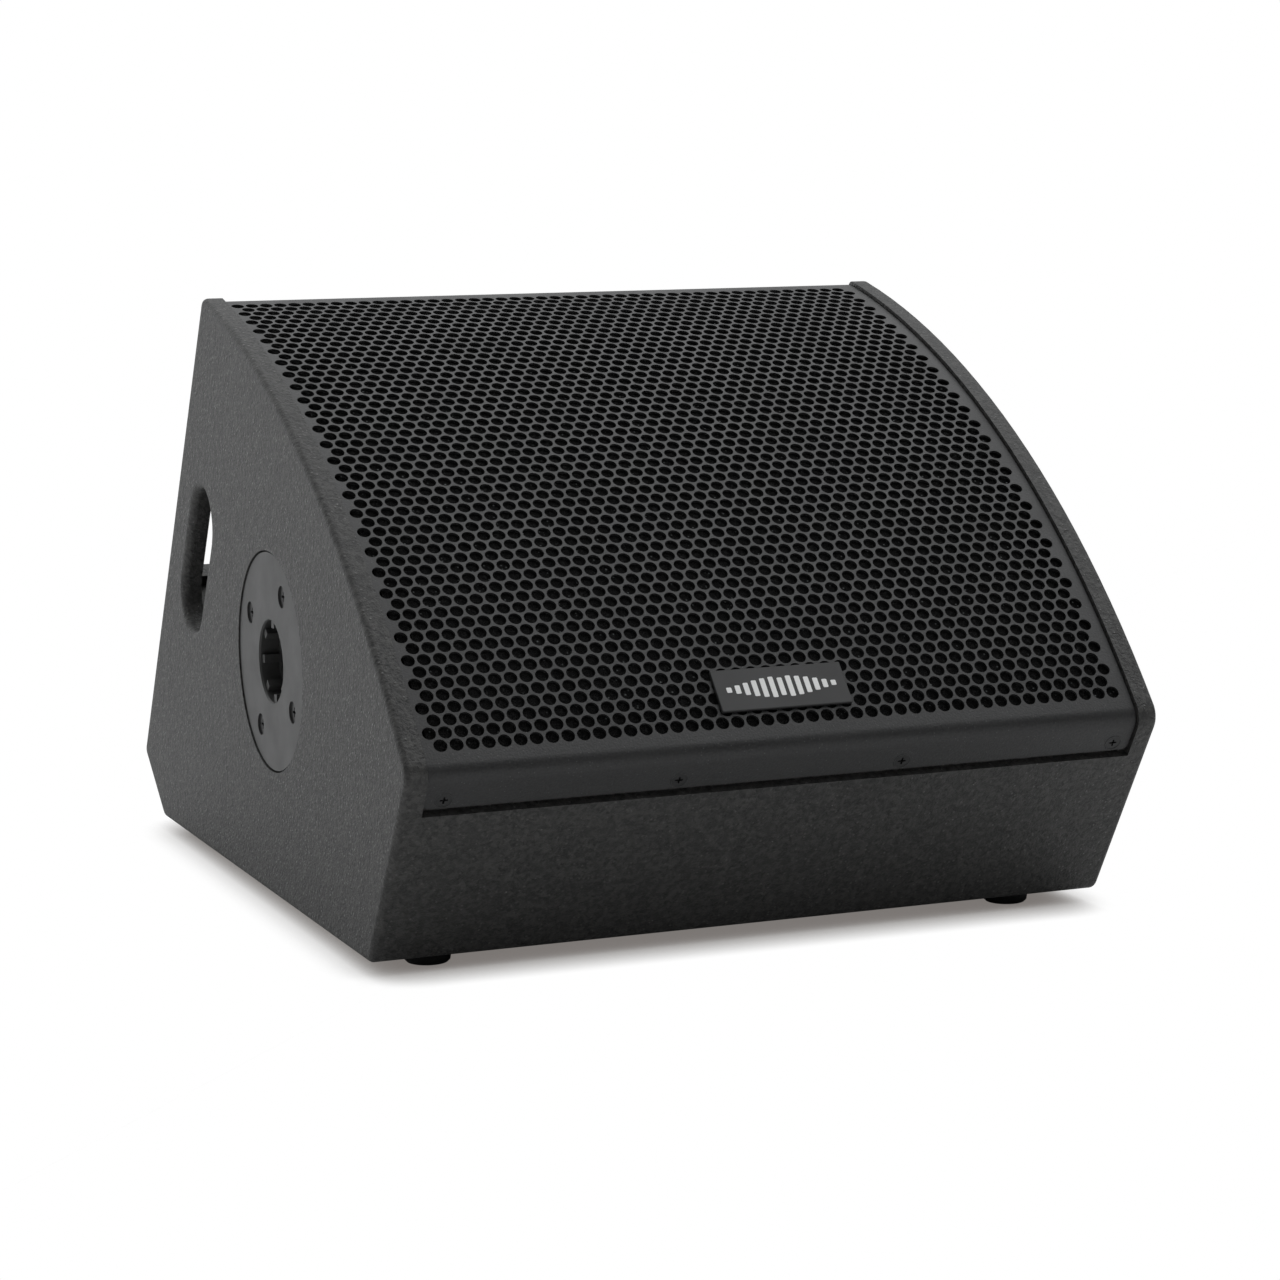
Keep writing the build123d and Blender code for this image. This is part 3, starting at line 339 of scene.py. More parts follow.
def weave_material(name, colour, threads, depth, roughness=0.85):
    """Woven cloth: two crossed sets of threads."""
    material, tree, shader, place = new_material(name)
    split = node(tree, "SeparateXYZ", place)
    across = maths(tree, "SINE", maths(tree, "MULTIPLY", split.outputs[0], threads * math.tau))
    along = maths(tree, "SINE", maths(tree, "MULTIPLY", split.outputs[1], threads * math.tau))
    cloth = maths(tree, "MULTIPLY", across, along)
    slow = grain(tree, place, 70, 4)
    tone = blend_colour(tree, spread(tree, cloth, -1, 1), tinted(colour, 0.7), tinted(colour, 1.2))
    tone = blend_colour(tree, spread(tree, slow, 0.35, 0.65, 0.0, 0.35), tone, tinted(colour, 0.6))
    link(tree, shader.inputs["Base Color"], tone)
    shader.inputs["Roughness"].default_value = roughness
    shader.inputs["Sheen Weight"].default_value = 0.1
    bump(tree, shader, (cloth, depth))
    return material


def paper_material():
    """Doped paper pulp: short matted fibres."""
    material, tree, shader, place = new_material("cone_paper")
    fibre = grain(tree, place, 420, 5, 0.7, 1.6)
    slow = grain(tree, place, 40, 3)
    dark, pale = (0.020, 0.019, 0.018, 1), (0.052, 0.049, 0.046, 1)
    tone = blend_colour(tree, spread(tree, fibre, 0.35, 0.65), dark, pale)
    link(tree, shader.inputs["Base Color"], tone)
    link(tree, shader.inputs["Roughness"], spread(tree, slow, 0.3, 0.7, 0.6, 0.8))
    bump(tree, shader, (fibre, 0.0002))
    return material


def board_material():
    """Green circuit board with copper runs under the lacquer, and dark components above it."""
    material, tree, shader, place = new_material("circuit_board")
    turned = node(tree, "Mapping", place, None, (math.radians(REAR[0]), 0, 0)).outputs[0]
    tiles = cells(tree, turned, 150, "F1", 0.35)
    tiles.distance = "CHEBYCHEV"
    runs = spread(tree, tiles.outputs["Distance"], 0.36, 0.40)
    tone = blend_colour(tree, runs, (0.006, 0.050, 0.018, 1), (0.020, 0.110, 0.040, 1))
    link(tree, shader.inputs["Base Color"], tone)
    link(tree, shader.inputs["Roughness"], spread(tree, grain(tree, place, 80), 0.3, 0.7, 0.28, 0.4))
    bump(tree, shader, (runs, 0.00005))
    return material


def wadding_material():
    """Off-white polyester batt: loose fibres."""
    material, tree, shader, place = new_material("wadding")
    fibre = grain(tree, place, 300, 6, 0.75, 3.0)
    dark, pale = (0.42, 0.42, 0.40, 1), (0.80, 0.80, 0.78, 1)
    tone = blend_colour(tree, spread(tree, fibre, 0.3, 0.7), dark, pale)
    link(tree, shader.inputs["Base Color"], tone)
    shader.inputs["Roughness"].default_value = 0.95
    shader.inputs["Sheen Weight"].default_value = 0.3
    bump(tree, shader, (fibre, 0.0012))
    return material


def ply_material():
    """Dark-stained plywood: long figure lines along the board."""
    material, tree, shader, place = new_material("raw_ply")
    stretched = node(tree, "Mapping", place, None, None, (0.12, 1, 1)).outputs[0]
    figure = grain(tree, stretched, 130, 5, 0.6, 0.8)
    pores = grain(tree, stretched, 1500, 2)
    dark, pale = (0.10, 0.062, 0.034, 1), (0.21, 0.14, 0.080, 1)
    tone = blend_colour(tree, spread(tree, figure, 0.3, 0.7), dark, pale)
    link(tree, shader.inputs["Base Color"], tone)
    link(tree, shader.inputs["Roughness"], spread(tree, pores, 0.3, 0.7, 0.6, 0.8))
    bump(tree, shader, (pores, 0.0001))
    return material


def lens_material():
    """Tinted lens of a small lamp."""
    material, tree, shader, place = new_material("led_lens")
    slow = grain(tree, place, 400, 2)
    tone = blend_colour(tree, slow, (0.02, 0.36, 0.06, 1), (0.05, 0.55, 0.12, 1))
    link(tree, shader.inputs["Base Color"], tone)
    shader.inputs["Roughness"].default_value = 0.12
    shader.inputs["Transmission Weight"].default_value = 0.35
    shader.inputs["Emission Color"].default_value = (0.1, 0.9, 0.25, 1)
    shader.inputs["Emission Strength"].default_value = 0.25
    bump(tree, shader, (slow, 0.00002))
    return material


print_material = plain("white_print", (0.96, 0.96, 0.95), 0.45, lump=2500, depth=0.00002, mottle=0.03)
SLOT_MATERIALS = {
    "textured_paint": textured_paint(),
    "raw_ply": ply_material(),
    "grille_powder_coat": powder_coat(),
    "grille_foam": foam_material(),
    "badge_plate": plain("badge_plate", (0.018, 0.018, 0.018), 0.44, lump=1600, depth=0.00003),
    "cup_plastic": plain("cup_plastic", (0.044, 0.044, 0.043), 0.45, lump=1500, depth=0.00007, mottle=0.08),
    "black_screw": plain("black_screw", (0.045, 0.045, 0.045), 0.38, metallic=0.7, lump=1800, depth=0.00004),
    "foot_rubber": plain("foot_rubber", (0.018, 0.018, 0.018), 0.75, lump=1100, depth=0.0001, specular=0.3),
    "gasket_rubber": plain(
        "gasket_rubber", (0.022, 0.022, 0.022), 0.85, lump=1400, depth=0.00015, specular=0.2
    ),
    "port_plastic": plain("port_plastic", (0.020, 0.020, 0.020), 0.5, lump=1200),
    "basket_paint": plain("basket_paint", (0.024, 0.024, 0.025), 0.45, lump=800, depth=0.00008),
    "cone_paper": paper_material(),
    "surround_cloth": weave_material("surround_cloth", (0.030, 0.030, 0.031), 1100, 0.00008),
    "spider_cloth": weave_material("spider_cloth", (0.42, 0.26, 0.09), 900, 0.0001),
    "coil_copper": steel_material("coil_copper", (0.72, 0.34, 0.17), 0.3),
    "motor_steel": steel_material("motor_steel", (0.55, 0.55, 0.52), 0.32),
    "ferrite": plain("ferrite", (0.050, 0.050, 0.052), 0.6, lump=500, depth=0.0001),
    "horn_plastic": plain("horn_plastic", (0.024, 0.024, 0.024), 0.4, lump=1300),
    "diaphragm_titanium": steel_material("diaphragm_titanium", (0.60, 0.59, 0.57), 0.25),
    "panel_paint": plain("panel_paint", (0.026, 0.026, 0.027), 0.48, lump=1500, depth=0.00012),
    "heatsink_aluminium": plain("heatsink_aluminium", (0.035, 0.035, 0.037), 0.36, metallic=0.6, lump=700),
    "board": board_material(),
    "transformer_wrap": plain(
        "transformer_wrap", (0.055, 0.060, 0.085), 0.25, lump=160, depth=0.0004, coat=0.4
    ),
    "connector_plastic": plain("connector_plastic", (0.022, 0.022, 0.023), 0.4, lump=1600),
    "latch_plastic": plain("latch_plastic", (0.070, 0.070, 0.072), 0.4, lump=1600),
    "rocker_plastic": plain("rocker_plastic", (0.020, 0.020, 0.020), 0.22, lump=2200, depth=0.00002),
    "knob_plastic": plain("knob_plastic", (0.028, 0.028, 0.029), 0.45, lump=1700),
    "button_plastic": plain("button_plastic", (0.30, 0.30, 0.30), 0.35, lump=1700),
    "led_lens": lens_material(),
    "wadding": wadding_material(),
}
for part in frame["record"]["subparts"]:
    cad = NODES[part["node"]]
    cad.data.materials.clear()
    cad.data.materials.append(SLOT_MATERIALS[part["material_slot"]])


# ------------------------------------------------------------------ pieces from mesh code
def piece(name, vertices, faces, slot, body=CABINET, material=None, sharp=None, replaces=()):
    """Mesh piece that rides on a body, if given, smooth but for edges sharper than sharp degrees."""
    mesh = bpy.data.meshes.new(name)
    mesh.from_pydata(vertices, [], faces)
    mesh.validate()
    mesh.materials.append(material or SLOT_MATERIALS[slot])
    obj = bpy.data.objects.new(name, mesh)
    bpy.context.scene.collection.objects.link(obj)
    if sharp is not None:
        mesh.shade_smooth()
        mesh.set_sharp_from_angle(angle=math.radians(sharp))
    if body:
        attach(obj, body)
    if replaces:
        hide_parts(*replaces)
    return obj


def joined(parts):
    """One list of vertices and one of faces from several (vertices, faces)."""
    vertices, faces = [], []
    for part_vertices, part_faces in parts:
        start = len(vertices)
        vertices.extend(part_vertices)
        faces.extend([tuple(start + index for index in face) for face in part_faces])
    return vertices, faces


def ring_between(outer, inner, middle):
    """Triangles from a loop of few corners to a loop of many points round the same middle."""
    def nearest(point):
        angle = math.atan2(point[1] - middle[1], point[0] - middle[0])
        gaps = []
        for _, corner in outer:
            gap = angle - math.atan2(corner[1] - middle[1], corner[0] - middle[0])
            gaps.append(abs((gap + math.pi) % math.tau - math.pi))
        return gaps.index(min(gaps))

    triangles = []
    owners = [nearest(point) for _, point in inner]
    for index in range(len(inner)):
        after = (index + 1) % len(inner)
        a, b = inner[index][0], inner[after][0]
        first, second = outer[owners[index]][0], outer[owners[after]][0]
        triangles.append((first, b, a))
        if owners[index] != owners[after]:
            triangles.append((first, second, b))
    return triangles


# ------------------------------------------------------------------ the perforated grille
SHEET_FACE = 2.0                 # mm below the side panels' profile
SHEET_BACK = 3.5
SHEET_HALF = 202.2
HOLE_RADIUS = 3.70
HOLE_SIDES = 16
HOLE_PITCH = 8.56
ROW_PITCH = 7.46
HOLE_COLUMNS = 46
HOLE_ROWS = 54
FIRST_ROW = 41.0                 # arc angle of the lowest row, degrees
FLANGE_FOOT = 103.6
FRONT_SCREW_HEIGHT = 108.9
REAR_SCREW_DROP = 14.0           # below the top corner, down the rear
REAR_FLANGE_DROP = 22.0
REAR_SCREW_HEIGHT = TOP_HEIGHT - REAR_SCREW_DROP
REAR_FLANGE_FOOT = TOP_HEIGHT - REAR_FLANGE_DROP
SCREW_X = (-192.0, -64.0, 64.0, 192.0)
SCREW_CELL = 5.3
SCREW_HOLE = (4.55, 3.35)        # radius at the face and at the back of the sheet
SCREW_SIDES = 24
CORNER_CUT = 3.6                 # rounding of the sheet's lower corners
CORNER_STEPS = 6
NOSE_STEPS = 14                  # facets of the bends
TOP_STEPS = 8
BEND_STRIPS = 46
MM_PER_DEGREE = math.radians(1) * (ARC_RADIUS - SHEET_FACE)
HEX_TIP = HOLE_PITCH / math.sqrt(3)
HEX_CORNERS = [
    (0, HEX_TIP), (-HOLE_PITCH / 2, HEX_TIP / 2), (-HOLE_PITCH / 2, -HEX_TIP / 2),
    (0, -HEX_TIP), (HOLE_PITCH / 2, -HEX_TIP / 2), (HOLE_PITCH / 2, HEX_TIP / 2),
]
SCREW_COLUMNS = [-SHEET_HALF]    # x of the flanges' cells
for x in SCREW_X:
    SCREW_COLUMNS.extend([x - SCREW_CELL, x + SCREW_CELL])
SCREW_COLUMNS.append(SHEET_HALF)
BEND_COLUMNS = [-SHEET_HALF + 2 * SHEET_HALF * k / BEND_STRIPS for k in range(BEND_STRIPS + 1)]

nose_centre = meet_arc((FRONT[0], FRONT[1] - NOSE_ROUND), ARC_RADIUS - NOSE_ROUND, -1)
top_centre = meet_arc((REAR[0], REAR[1] - TOP_ROUND), ARC_RADIUS - TOP_ROUND, 1)
NOSE_TANGENT = 180 - angle_of(nose_centre - ARC_CENTRE)      # arc angles where the bends begin
TOP_TANGENT = 180 - angle_of(top_centre - ARC_CENTRE)


def front_surface(height):
    return lambda depth: on_front(height, depth)


def rear_surface(height):
    return lambda depth: on_rear(height, depth)


def arc_surface(angle):
    return lambda depth: on_arc(angle, depth)


def bend_surface(centre, radius, angle):
    return lambda depth: centre + direction(angle) * (radius - depth)


class Sheet:
    """Bent sheet: points known on its face and its back, and the faces of its front side."""

    def __init__(self):
        self.keys = {}
        self.face_points = []
        self.back_points = []
        self.faces = []

    def point(self, x, surface, back_x=None, back_surface=None):
        """Index of the point at x on a surface, which takes a depth, made once."""
        face_point = at(x, surface(SHEET_FACE))
        key = tuple(round(value, 6) for value in face_point)
        if key not in self.keys:
            self.keys[key] = len(self.face_points)
            self.face_points.append(face_point)
            back_side = back_surface or surface
            self.back_points.append(at(x if back_x is None else back_x, back_side(SHEET_BACK)))
        return self.keys[key]

    def chain(self, surface, places):
        """Points across the sheet on a surface, as (index, x)."""
        return [(self.point(x, surface), x) for x in places]

    def zip(self, low, high):
        """Triangles between two chains of (index, x) that run towards +X."""
        i = j = 0
        while i < len(low) - 1 or j < len(high) - 1:
            step_low = i < len(low) - 1 and (
                j == len(high) - 1 or low[i + 1][1] + low[i][1] <= high[j + 1][1] + high[j][1]
            )
            if step_low:
                self.faces.append((low[i][0], low[i + 1][0], high[j][0]))
                i += 1
            else:
                self.faces.append((low[i][0], high[j + 1][0], high[j][0]))
                j += 1

    def solid(self):
        """Closed mesh: the face, the back, and walls along every open edge."""
        count = len(self.face_points)
        owners = {}
        for face in self.faces:
            for start, end in zip(face, face[1:] + face[:1]):
                owners[(start, end)] = True
        walls = [
            (end, start, start + count, end + count)
            for start, end in owners
            if (end, start) not in owners
        ]
        backs = [tuple(index + count for index in reversed(face)) for face in self.faces]
        return self.face_points + self.back_points, self.faces + backs + walls


def row_angle(row):
    return FIRST_ROW + row * ROW_PITCH / MM_PER_DEGREE


def hole_cell(sheet, x, angle):
    """Hexagonal cell with a round hole at x and an arc angle; returns its corners' indices."""
    outer = []
    for dx, dy in HEX_CORNERS:
        index = sheet.point(x + dx, arc_surface(angle + dy / MM_PER_DEGREE))
        outer.append((index, (dx, dy)))
    inner = []
    for side in range(HOLE_SIDES):
        turn = direction(360 / HOLE_SIDES * (side + 0.5)) * HOLE_RADIUS
        index = sheet.point(x + turn.x, arc_surface(angle + turn.y / MM_PER_DEGREE))
        inner.append((index, (turn.x, turn.y)))
    sheet.faces.extend(tuple(reversed(face)) for face in ring_between(outer, inner, (0, 0)))
    return [index for index, _ in outer]


def hole_field(sheet):
    """All the cells, with a plain strip at each end; returns the chains of its low and high edges."""
    half = HOLE_PITCH / 2
    last_row, last_column = HOLE_ROWS - 1, HOLE_COLUMNS - 1
    left_side, right_side, low_side, high_side = [], [], [], []
    for row in range(HOLE_ROWS):
        angle = row_angle(row)
        corner_angles = [angle + dy / MM_PER_DEGREE for _, dy in HEX_CORNERS]
        for column in range(HOLE_COLUMNS):
            x = (column - last_column / 2) * HOLE_PITCH - (half if row % 2 else 0)
            corners = hole_cell(sheet, x, angle)
            if row == 0:
                low_side.extend([(corners[2], x - half), (corners[3], x)])
            if row == last_row:
                high_side.extend([(corners[1], x - half), (corners[0], x)])
            if column == 0:
                left_side.extend((corners[k], corner_angles[k]) for k in (2, 1))
            if column == last_column:
                right_side.extend((corners[k], corner_angles[k]) for k in (4, 5))
                if row == 0:
                    low_side.append((corners[4], x + half))
                if row == last_row:
                    high_side.append((corners[5], x + half))
    for chain, x, flip in ((left_side, -SHEET_HALF, False), (right_side, SHEET_HALF, True)):
        edge = [sheet.point(x, arc_surface(angle)) for _, angle in chain]
        for k in range(len(chain) - 1):
            quad = (edge[k], chain[k][0], chain[k + 1][0], edge[k + 1])
            sheet.faces.append(tuple(reversed(quad)) if flip else quad)
    edges = []
    for angle, inside in ((left_side[0][1], low_side), (left_side[-1][1], high_side)):
        start, end = sheet.chain(arc_surface(angle), (-SHEET_HALF, SHEET_HALF))
        edges.append([start] + inside + [end])
    return edges


def bend_rows(centre, radius, start, end, steps):
    """Surfaces round a bend, from one angle to another."""
    return [bend_surface(centre, radius, start + (end - start) * step / steps) for step in range(steps + 1)]


def rounded_end(a, b, low, high, radius):
    """Loop of an end cell whose outer lower corner is rounded."""
    side = -1 if a == -SHEET_HALF else 1
    middle = Vector((side * (SHEET_HALF - radius), low + radius))
    arc = [
        (middle.x + side * ray.x * radius, middle.y - ray.y * radius)
        for ray in (direction(90 * step / CORNER_STEPS) for step in range(CORNER_STEPS + 1))
    ]
    if side < 0:
        return [(b, low), (b, high), (a, high)] + arc
    return [(b, high), (a, high), (a, low)] + arc[::-1]


def screw_cell(sheet, surface_at, corners, x, middle):
    """Triangles of a cell round a countersunk hole at x and a height."""
    outer = [(sheet.point(cx, surface_at(cy)), (cx - x, cy - middle)) for cx, cy in corners]
    inner = []
    for side in range(SCREW_SIDES):
        ray = direction(360 / SCREW_SIDES * side)
        index = sheet.point(
            x + ray.x * SCREW_HOLE[0], surface_at(middle + ray.y * SCREW_HOLE[0]),
            x + ray.x * SCREW_HOLE[1], surface_at(middle + ray.y * SCREW_HOLE[1]),
        )
        inner.append((index, (ray.x, ray.y)))
    return [tuple(reversed(face)) for face in ring_between(outer, inner, (0, 0))]


def screw_row(sheet, surface_at, low, middle, high, sign, rounding=0.0):
    """Row of cells on a flange, from height low to high, with a hole at each screw."""
    ends = (0, len(SCREW_COLUMNS) - 2)
    for k in range(len(SCREW_COLUMNS) - 1):
        a, b = SCREW_COLUMNS[k], SCREW_COLUMNS[k + 1]
        corners = [(a, low), (b, low), (b, high), (a, high)]
        if k % 2 == 1:
            made = screw_cell(sheet, surface_at, corners, (a + b) / 2, middle)
        else:
            loop = rounded_end(a, b, low, high, rounding) if rounding and k in ends else corners
            made = [tuple(sheet.point(cx, surface_at(cy)) for cx, cy in loop)]
        if sign < 0:
            made = [tuple(reversed(face)) for face in made]
        sheet.faces.extend(made)


def build_grille():
    sheet = Sheet()
    low_edge, high_edge = hole_field(sheet)
    high_front = FRONT_SCREW_HEIGHT + SCREW_CELL
    low_rear, high_rear = REAR_SCREW_HEIGHT - SCREW_CELL, REAR_SCREW_HEIGHT + SCREW_CELL
    nose_bend = bend_rows(nose_centre, NOSE_ROUND, FRONT[0], 180 - NOSE_TANGENT, NOSE_STEPS)
    top_bend = bend_rows(top_centre, TOP_ROUND, 180 - TOP_TANGENT, REAR[0], TOP_STEPS)
    lower = [sheet.chain(front_surface(high_front), SCREW_COLUMNS)]
    lower += [sheet.chain(row, BEND_COLUMNS) for row in nose_bend]
    for low, high in zip(lower, lower[1:] + [low_edge]):
        sheet.zip(low, high)
    upper = [sheet.chain(row, BEND_COLUMNS) for row in top_bend]
    upper.append(sheet.chain(rear_surface(high_rear), SCREW_COLUMNS))
    for low, high in zip([high_edge] + upper, upper):
        sheet.zip(low, high)
    screw_row(sheet, front_surface, FLANGE_FOOT, FRONT_SCREW_HEIGHT, high_front, 1, CORNER_CUT)
    screw_row(sheet, rear_surface, low_rear, REAR_SCREW_HEIGHT, high_rear, -1)
    rear_foot = sheet.chain(rear_surface(REAR_FLANGE_FOOT), SCREW_COLUMNS)
    sheet.zip(sheet.chain(rear_surface(low_rear), SCREW_COLUMNS), rear_foot)
    vertices, faces = sheet.solid()
    piece("grille_perforated", vertices, faces, "grille_powder_coat", sharp=32, replaces=["grille"])


build_grille()


# ------------------------------------------------------------------ foam behind the grille
FOAM_ENDS = (40.6, 76.8)         # arc angles where the foam starts and stops
FOAM_SPARE = 0.3                 # mm between the sheet and the foam
FOAM_THICK = 4.0
FOAM_GRID = (176, 168)           # columns and rows
FOAM_LUMPS = (0.32, 0.22)        # mm, large and small
FOAM_PULL = 0.9                  # how far its edges sink
FOAM_PROUD = 0.25                # how far it may bulge
FOAM_BAND = 1 / 12               # share of its width where the edges sink


def build_foam():
    low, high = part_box("grille_foam")
    columns, rows = FOAM_GRID
    first, last = FOAM_ENDS
    face_depth = SHEET_BACK + FOAM_SPARE
    back_depth = face_depth + FOAM_THICK
    vertices, faces = [], []
    for depth in (face_depth, back_depth):
        for row in range(rows + 1):
            angle = first + (last - first) * row / rows
            for column in range(columns + 1):
                share = column / columns
                x = (low.x + (high.x - low.x) * share) / MM
                seed = Vector((x * 0.31, angle * 3.1, depth))
                lift = FOAM_LUMPS[0] * noise.noise(seed) + FOAM_LUMPS[1] * noise.noise(seed * 3.3)
                rim = min(1.0, min(share, 1 - share, row / rows, 1 - row / rows) / FOAM_BAND)
                pull = FOAM_PULL * (1 - rim) ** 2
                if depth == face_depth:
                    inwards = max(lift + pull, -FOAM_PROUD)
                else:
                    inwards = min(-lift - pull, FOAM_PROUD)
                vertices.append(at(x, on_arc(angle, depth + inwards)))
    layer = (rows + 1) * (columns + 1)

    def index(row, column):
        return row * (columns + 1) + column

    for row in range(rows):
        for column in range(columns):
            a, b = index(row, column), index(row, column + 1)
            c, d = index(row + 1, column + 1), index(row + 1, column)
            faces.append((a, b, c, d))
            faces.append((d + layer, c + layer, b + layer, a + layer))
    for column in range(columns):
        a, b = index(0, column), index(0, column + 1)
        faces.append((b, a, a + layer, b + layer))
        a, b = index(rows, column), index(rows, column + 1)
        faces.append((a, b, b + layer, a + layer))
    for row in range(rows):
        a, b = index(row, 0), index(row + 1, 0)
        faces.append((a, b, b + layer, a + layer))
        a, b = index(row, columns), index(row + 1, columns)
        faces.append((b, a, a + layer, b + layer))
    foam = piece("grille_foam_lining", vertices, faces, "grille_foam", sharp=60, replaces=["grille_foam"])


build_foam()


# ------------------------------------------------------------------ badge mark: bars of a level meter
def plate_block(frame_at, points, low, high):
    """Prism on a local frame from a polygon, between two heights."""
    count = len(points)
    vertices = [frame_at(x, y, low) for x, y in points] + [frame_at(x, y, high) for x, y in points]
    faces = [tuple(reversed(range(count))), tuple(range(count, 2 * count))]
    faces += [(k, (k + 1) % count, (k + 1) % count + count, k + count) for k in range(count)]
    return vertices, faces


def rounded_box(width, height, radius, middle=(0, 0), steps=4):
    """Outline of a rectangle with rounded corners."""
    points = []
    for quarter, (sx, sy) in enumerate(((1, 1), (-1, 1), (-1, -1), (1, -1))):
        for step in range(steps + 1):
            ray = direction(90 * quarter + 90 * step / steps) * radius
            points.append((
                middle[0] + sx * (width / 2 - radius) + ray.x,
                middle[1] + sy * (height / 2 - radius) + ray.y,
            ))
    return points


BADGE_ARC = 42.63
BADGE_THICK = 2.0
BADGE_LIFT = 0.05                # from the sheet to the plate
badge_origin = on_arc(BADGE_ARC, SHEET_FACE - BADGE_LIFT)
badge_out = direction(180 - BADGE_ARC)
badge_up = direction(90 - BADGE_ARC)


def on_badge(x, y, height):
    return at(x, badge_origin + badge_up * y + badge_out * (BADGE_THICK + height))


METER_LEVELS = (3.2, 5.2, 7.6, 9.8, 11.6, 12.8, 11.0, 12.8, 11.6, 9.8, 7.6, 5.2, 3.2)
METER_PITCH = 5.0
METER_BAR = (2.9, 0.6)           # width and corner radius of a bar
PRINT_FROM, PRINT_TO = -0.05, 0.12
bars = []
for k, level_height in enumerate(METER_LEVELS):
    x = (k - (len(METER_LEVELS) - 1) / 2) * METER_PITCH
    outline = rounded_box(METER_BAR[0], level_height, METER_BAR[1], (x, 0))
    bars.append(plate_block(on_badge, outline, PRINT_FROM, PRINT_TO))
piece("badge_meter_mark", *joined(bars), None, material=print_material, sharp=40)


# ------------------------------------------------------------------ loudspeaker's soft parts
CHORD = (TOP - NOSE).normalized()
CHORD_ANGLE = angle_of(CHORD)
BAFFLE_SETBACK = 14.0
driver_axis = direction(CHORD_ANGLE + 90)
driver_origin = (NOSE + TOP) / 2 - driver_axis * BAFFLE_SETBACK


def on_driver(x, along, height):
    return at(x, driver_origin + CHORD * along + driver_axis * height)


def lathe(outline, sides=96, frame_at=on_driver):
    """Closed ring about a local frame's height axis, from its outline in (radius, height), mm."""
    vertices, faces = [], []
    count = len(outline)
    for side in range(sides):
        ray = direction(360 * side / sides)
        for radius, height in outline:
            vertices.append(frame_at(ray.x * radius, ray.y * radius, height))
    for side in range(sides):
        after = (side + 1) % sides
        for k in range(count):
            j = (k + 1) % count
            faces.append((side * count + k, after * count + k, after * count + j, side * count + j))
    return vertices, faces


def shell(line, thickness):
    """Closed outline of a thin wall under a line of (radius, height)."""
    return list(line) + [(radius, height - thickness) for radius, height in reversed(line)]


CONE_RADIUS = 122.0
CONE_LIP = 2.7                   # heights of the surround's two glued flats
RIM_SEAT = 8.4
RIM_RADII = (136.6, 141.0)
ROLL_WIDTH = 14.4
ROLL_HEIGHT = 6.8
ROLL_STEPS = 14
SURROUND_WALL = 0.9
surround_line = [(CONE_RADIUS - 4, CONE_LIP), (CONE_RADIUS, CONE_LIP)]
for step in range(1, ROLL_STEPS):
    turn = math.pi * step / ROLL_STEPS
    rise = math.sin(turn)
    half_roll = 0.5 * (1 - math.cos(turn))
    lift = (RIM_SEAT - CONE_LIP) * half_roll + ROLL_HEIGHT * rise
    surround_line.append((CONE_RADIUS + ROLL_WIDTH * half_roll, CONE_LIP + lift))
surround_line += [(radius, RIM_SEAT) for radius in RIM_RADII]
CROWN = 1 + ROLL_STEPS // 2      # place of the roll's highest point in its line


def stretch(obj):
    """Bakes the piece's placement into its mesh."""
    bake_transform(obj)


surround_inner = piece(
    "woofer_surround_inner_roll", *lathe(shell(surround_line[: CROWN + 1], SURROUND_WALL)), "surround_cloth",
    body=None, sharp=50, replaces=["woofer_surround"],
)
stretch(surround_inner)
piece(
    "woofer_surround_outer_roll", *lathe(shell(surround_line[CROWN:], SURROUND_WALL)), "surround_cloth",
    body=CABINET, sharp=50,
)
SPIDER_SEAT = -52.0
SPIDER_RADII = (32.5, 90.0)      # of the rolled part
SPIDER_RIM = (92.0, 98.0)        # radii of the flat rim
SPIDER_RIM_TOP = SPIDER_SEAT + 3.2
SPIDER_WALL = 0.8
SPIDER_ROLLS = 5
SPIDER_STEPS = 80
SPIDER_WAVE = 1.1
SPIDER_RISE = 4.6                # from the rim up to the voice coil
spider_line = []
for step in range(SPIDER_STEPS + 1):
    share = step / SPIDER_STEPS
    radius = SPIDER_RADII[0] + (SPIDER_RADII[1] - SPIDER_RADII[0]) * share
    base = SPIDER_RIM_TOP + SPIDER_WAVE + SPIDER_RISE * (1 - share)
    spider_line.append((radius, base - SPIDER_WAVE * math.cos(math.tau * SPIDER_ROLLS * share)))
spider_line += [(radius, SPIDER_RIM_TOP) for radius in SPIDER_RIM]
spider = piece(
    "woofer_spider_rolls", *lathe(shell(spider_line, SPIDER_WALL)), "spider_cloth",
    body=None, sharp=60, replaces=["woofer_spider"],
)
stretch(spider)


# ------------------------------------------------------------------ paint rims round the grille's screws
RIM_OUTLINE = [(4.25, -0.1), (4.3, 0.16), (4.5, 0.26), (4.8, 0.2), (4.95, -0.05)]


def screw_frame(x, place_on, height, up, out):
    return lambda across, along, lift: at(x + across, place_on(height, SHEET_FACE) + up * along + out * lift)


rims = []
for x in SCREW_X:
    for place_on, height, up, out in (
        (on_front, FRONT_SCREW_HEIGHT, FRONT_UP, direction(FRONT[0])),
        (on_rear, REAR_SCREW_HEIGHT, REAR_UP, direction(REAR[0])),
    ):
        rims.append(lathe(RIM_OUTLINE, 32, screw_frame(x, place_on, height, up, out)))
piece("grille_screw_rims", *joined(rims), "grille_powder_coat", sharp=60)


# ------------------------------------------------------------------ wadding on the cabinet's floor
WADDING_GRID = (76, 40)          # columns and rows
WADDING_BAND = 1 / 9             # share of its width where the edges round off


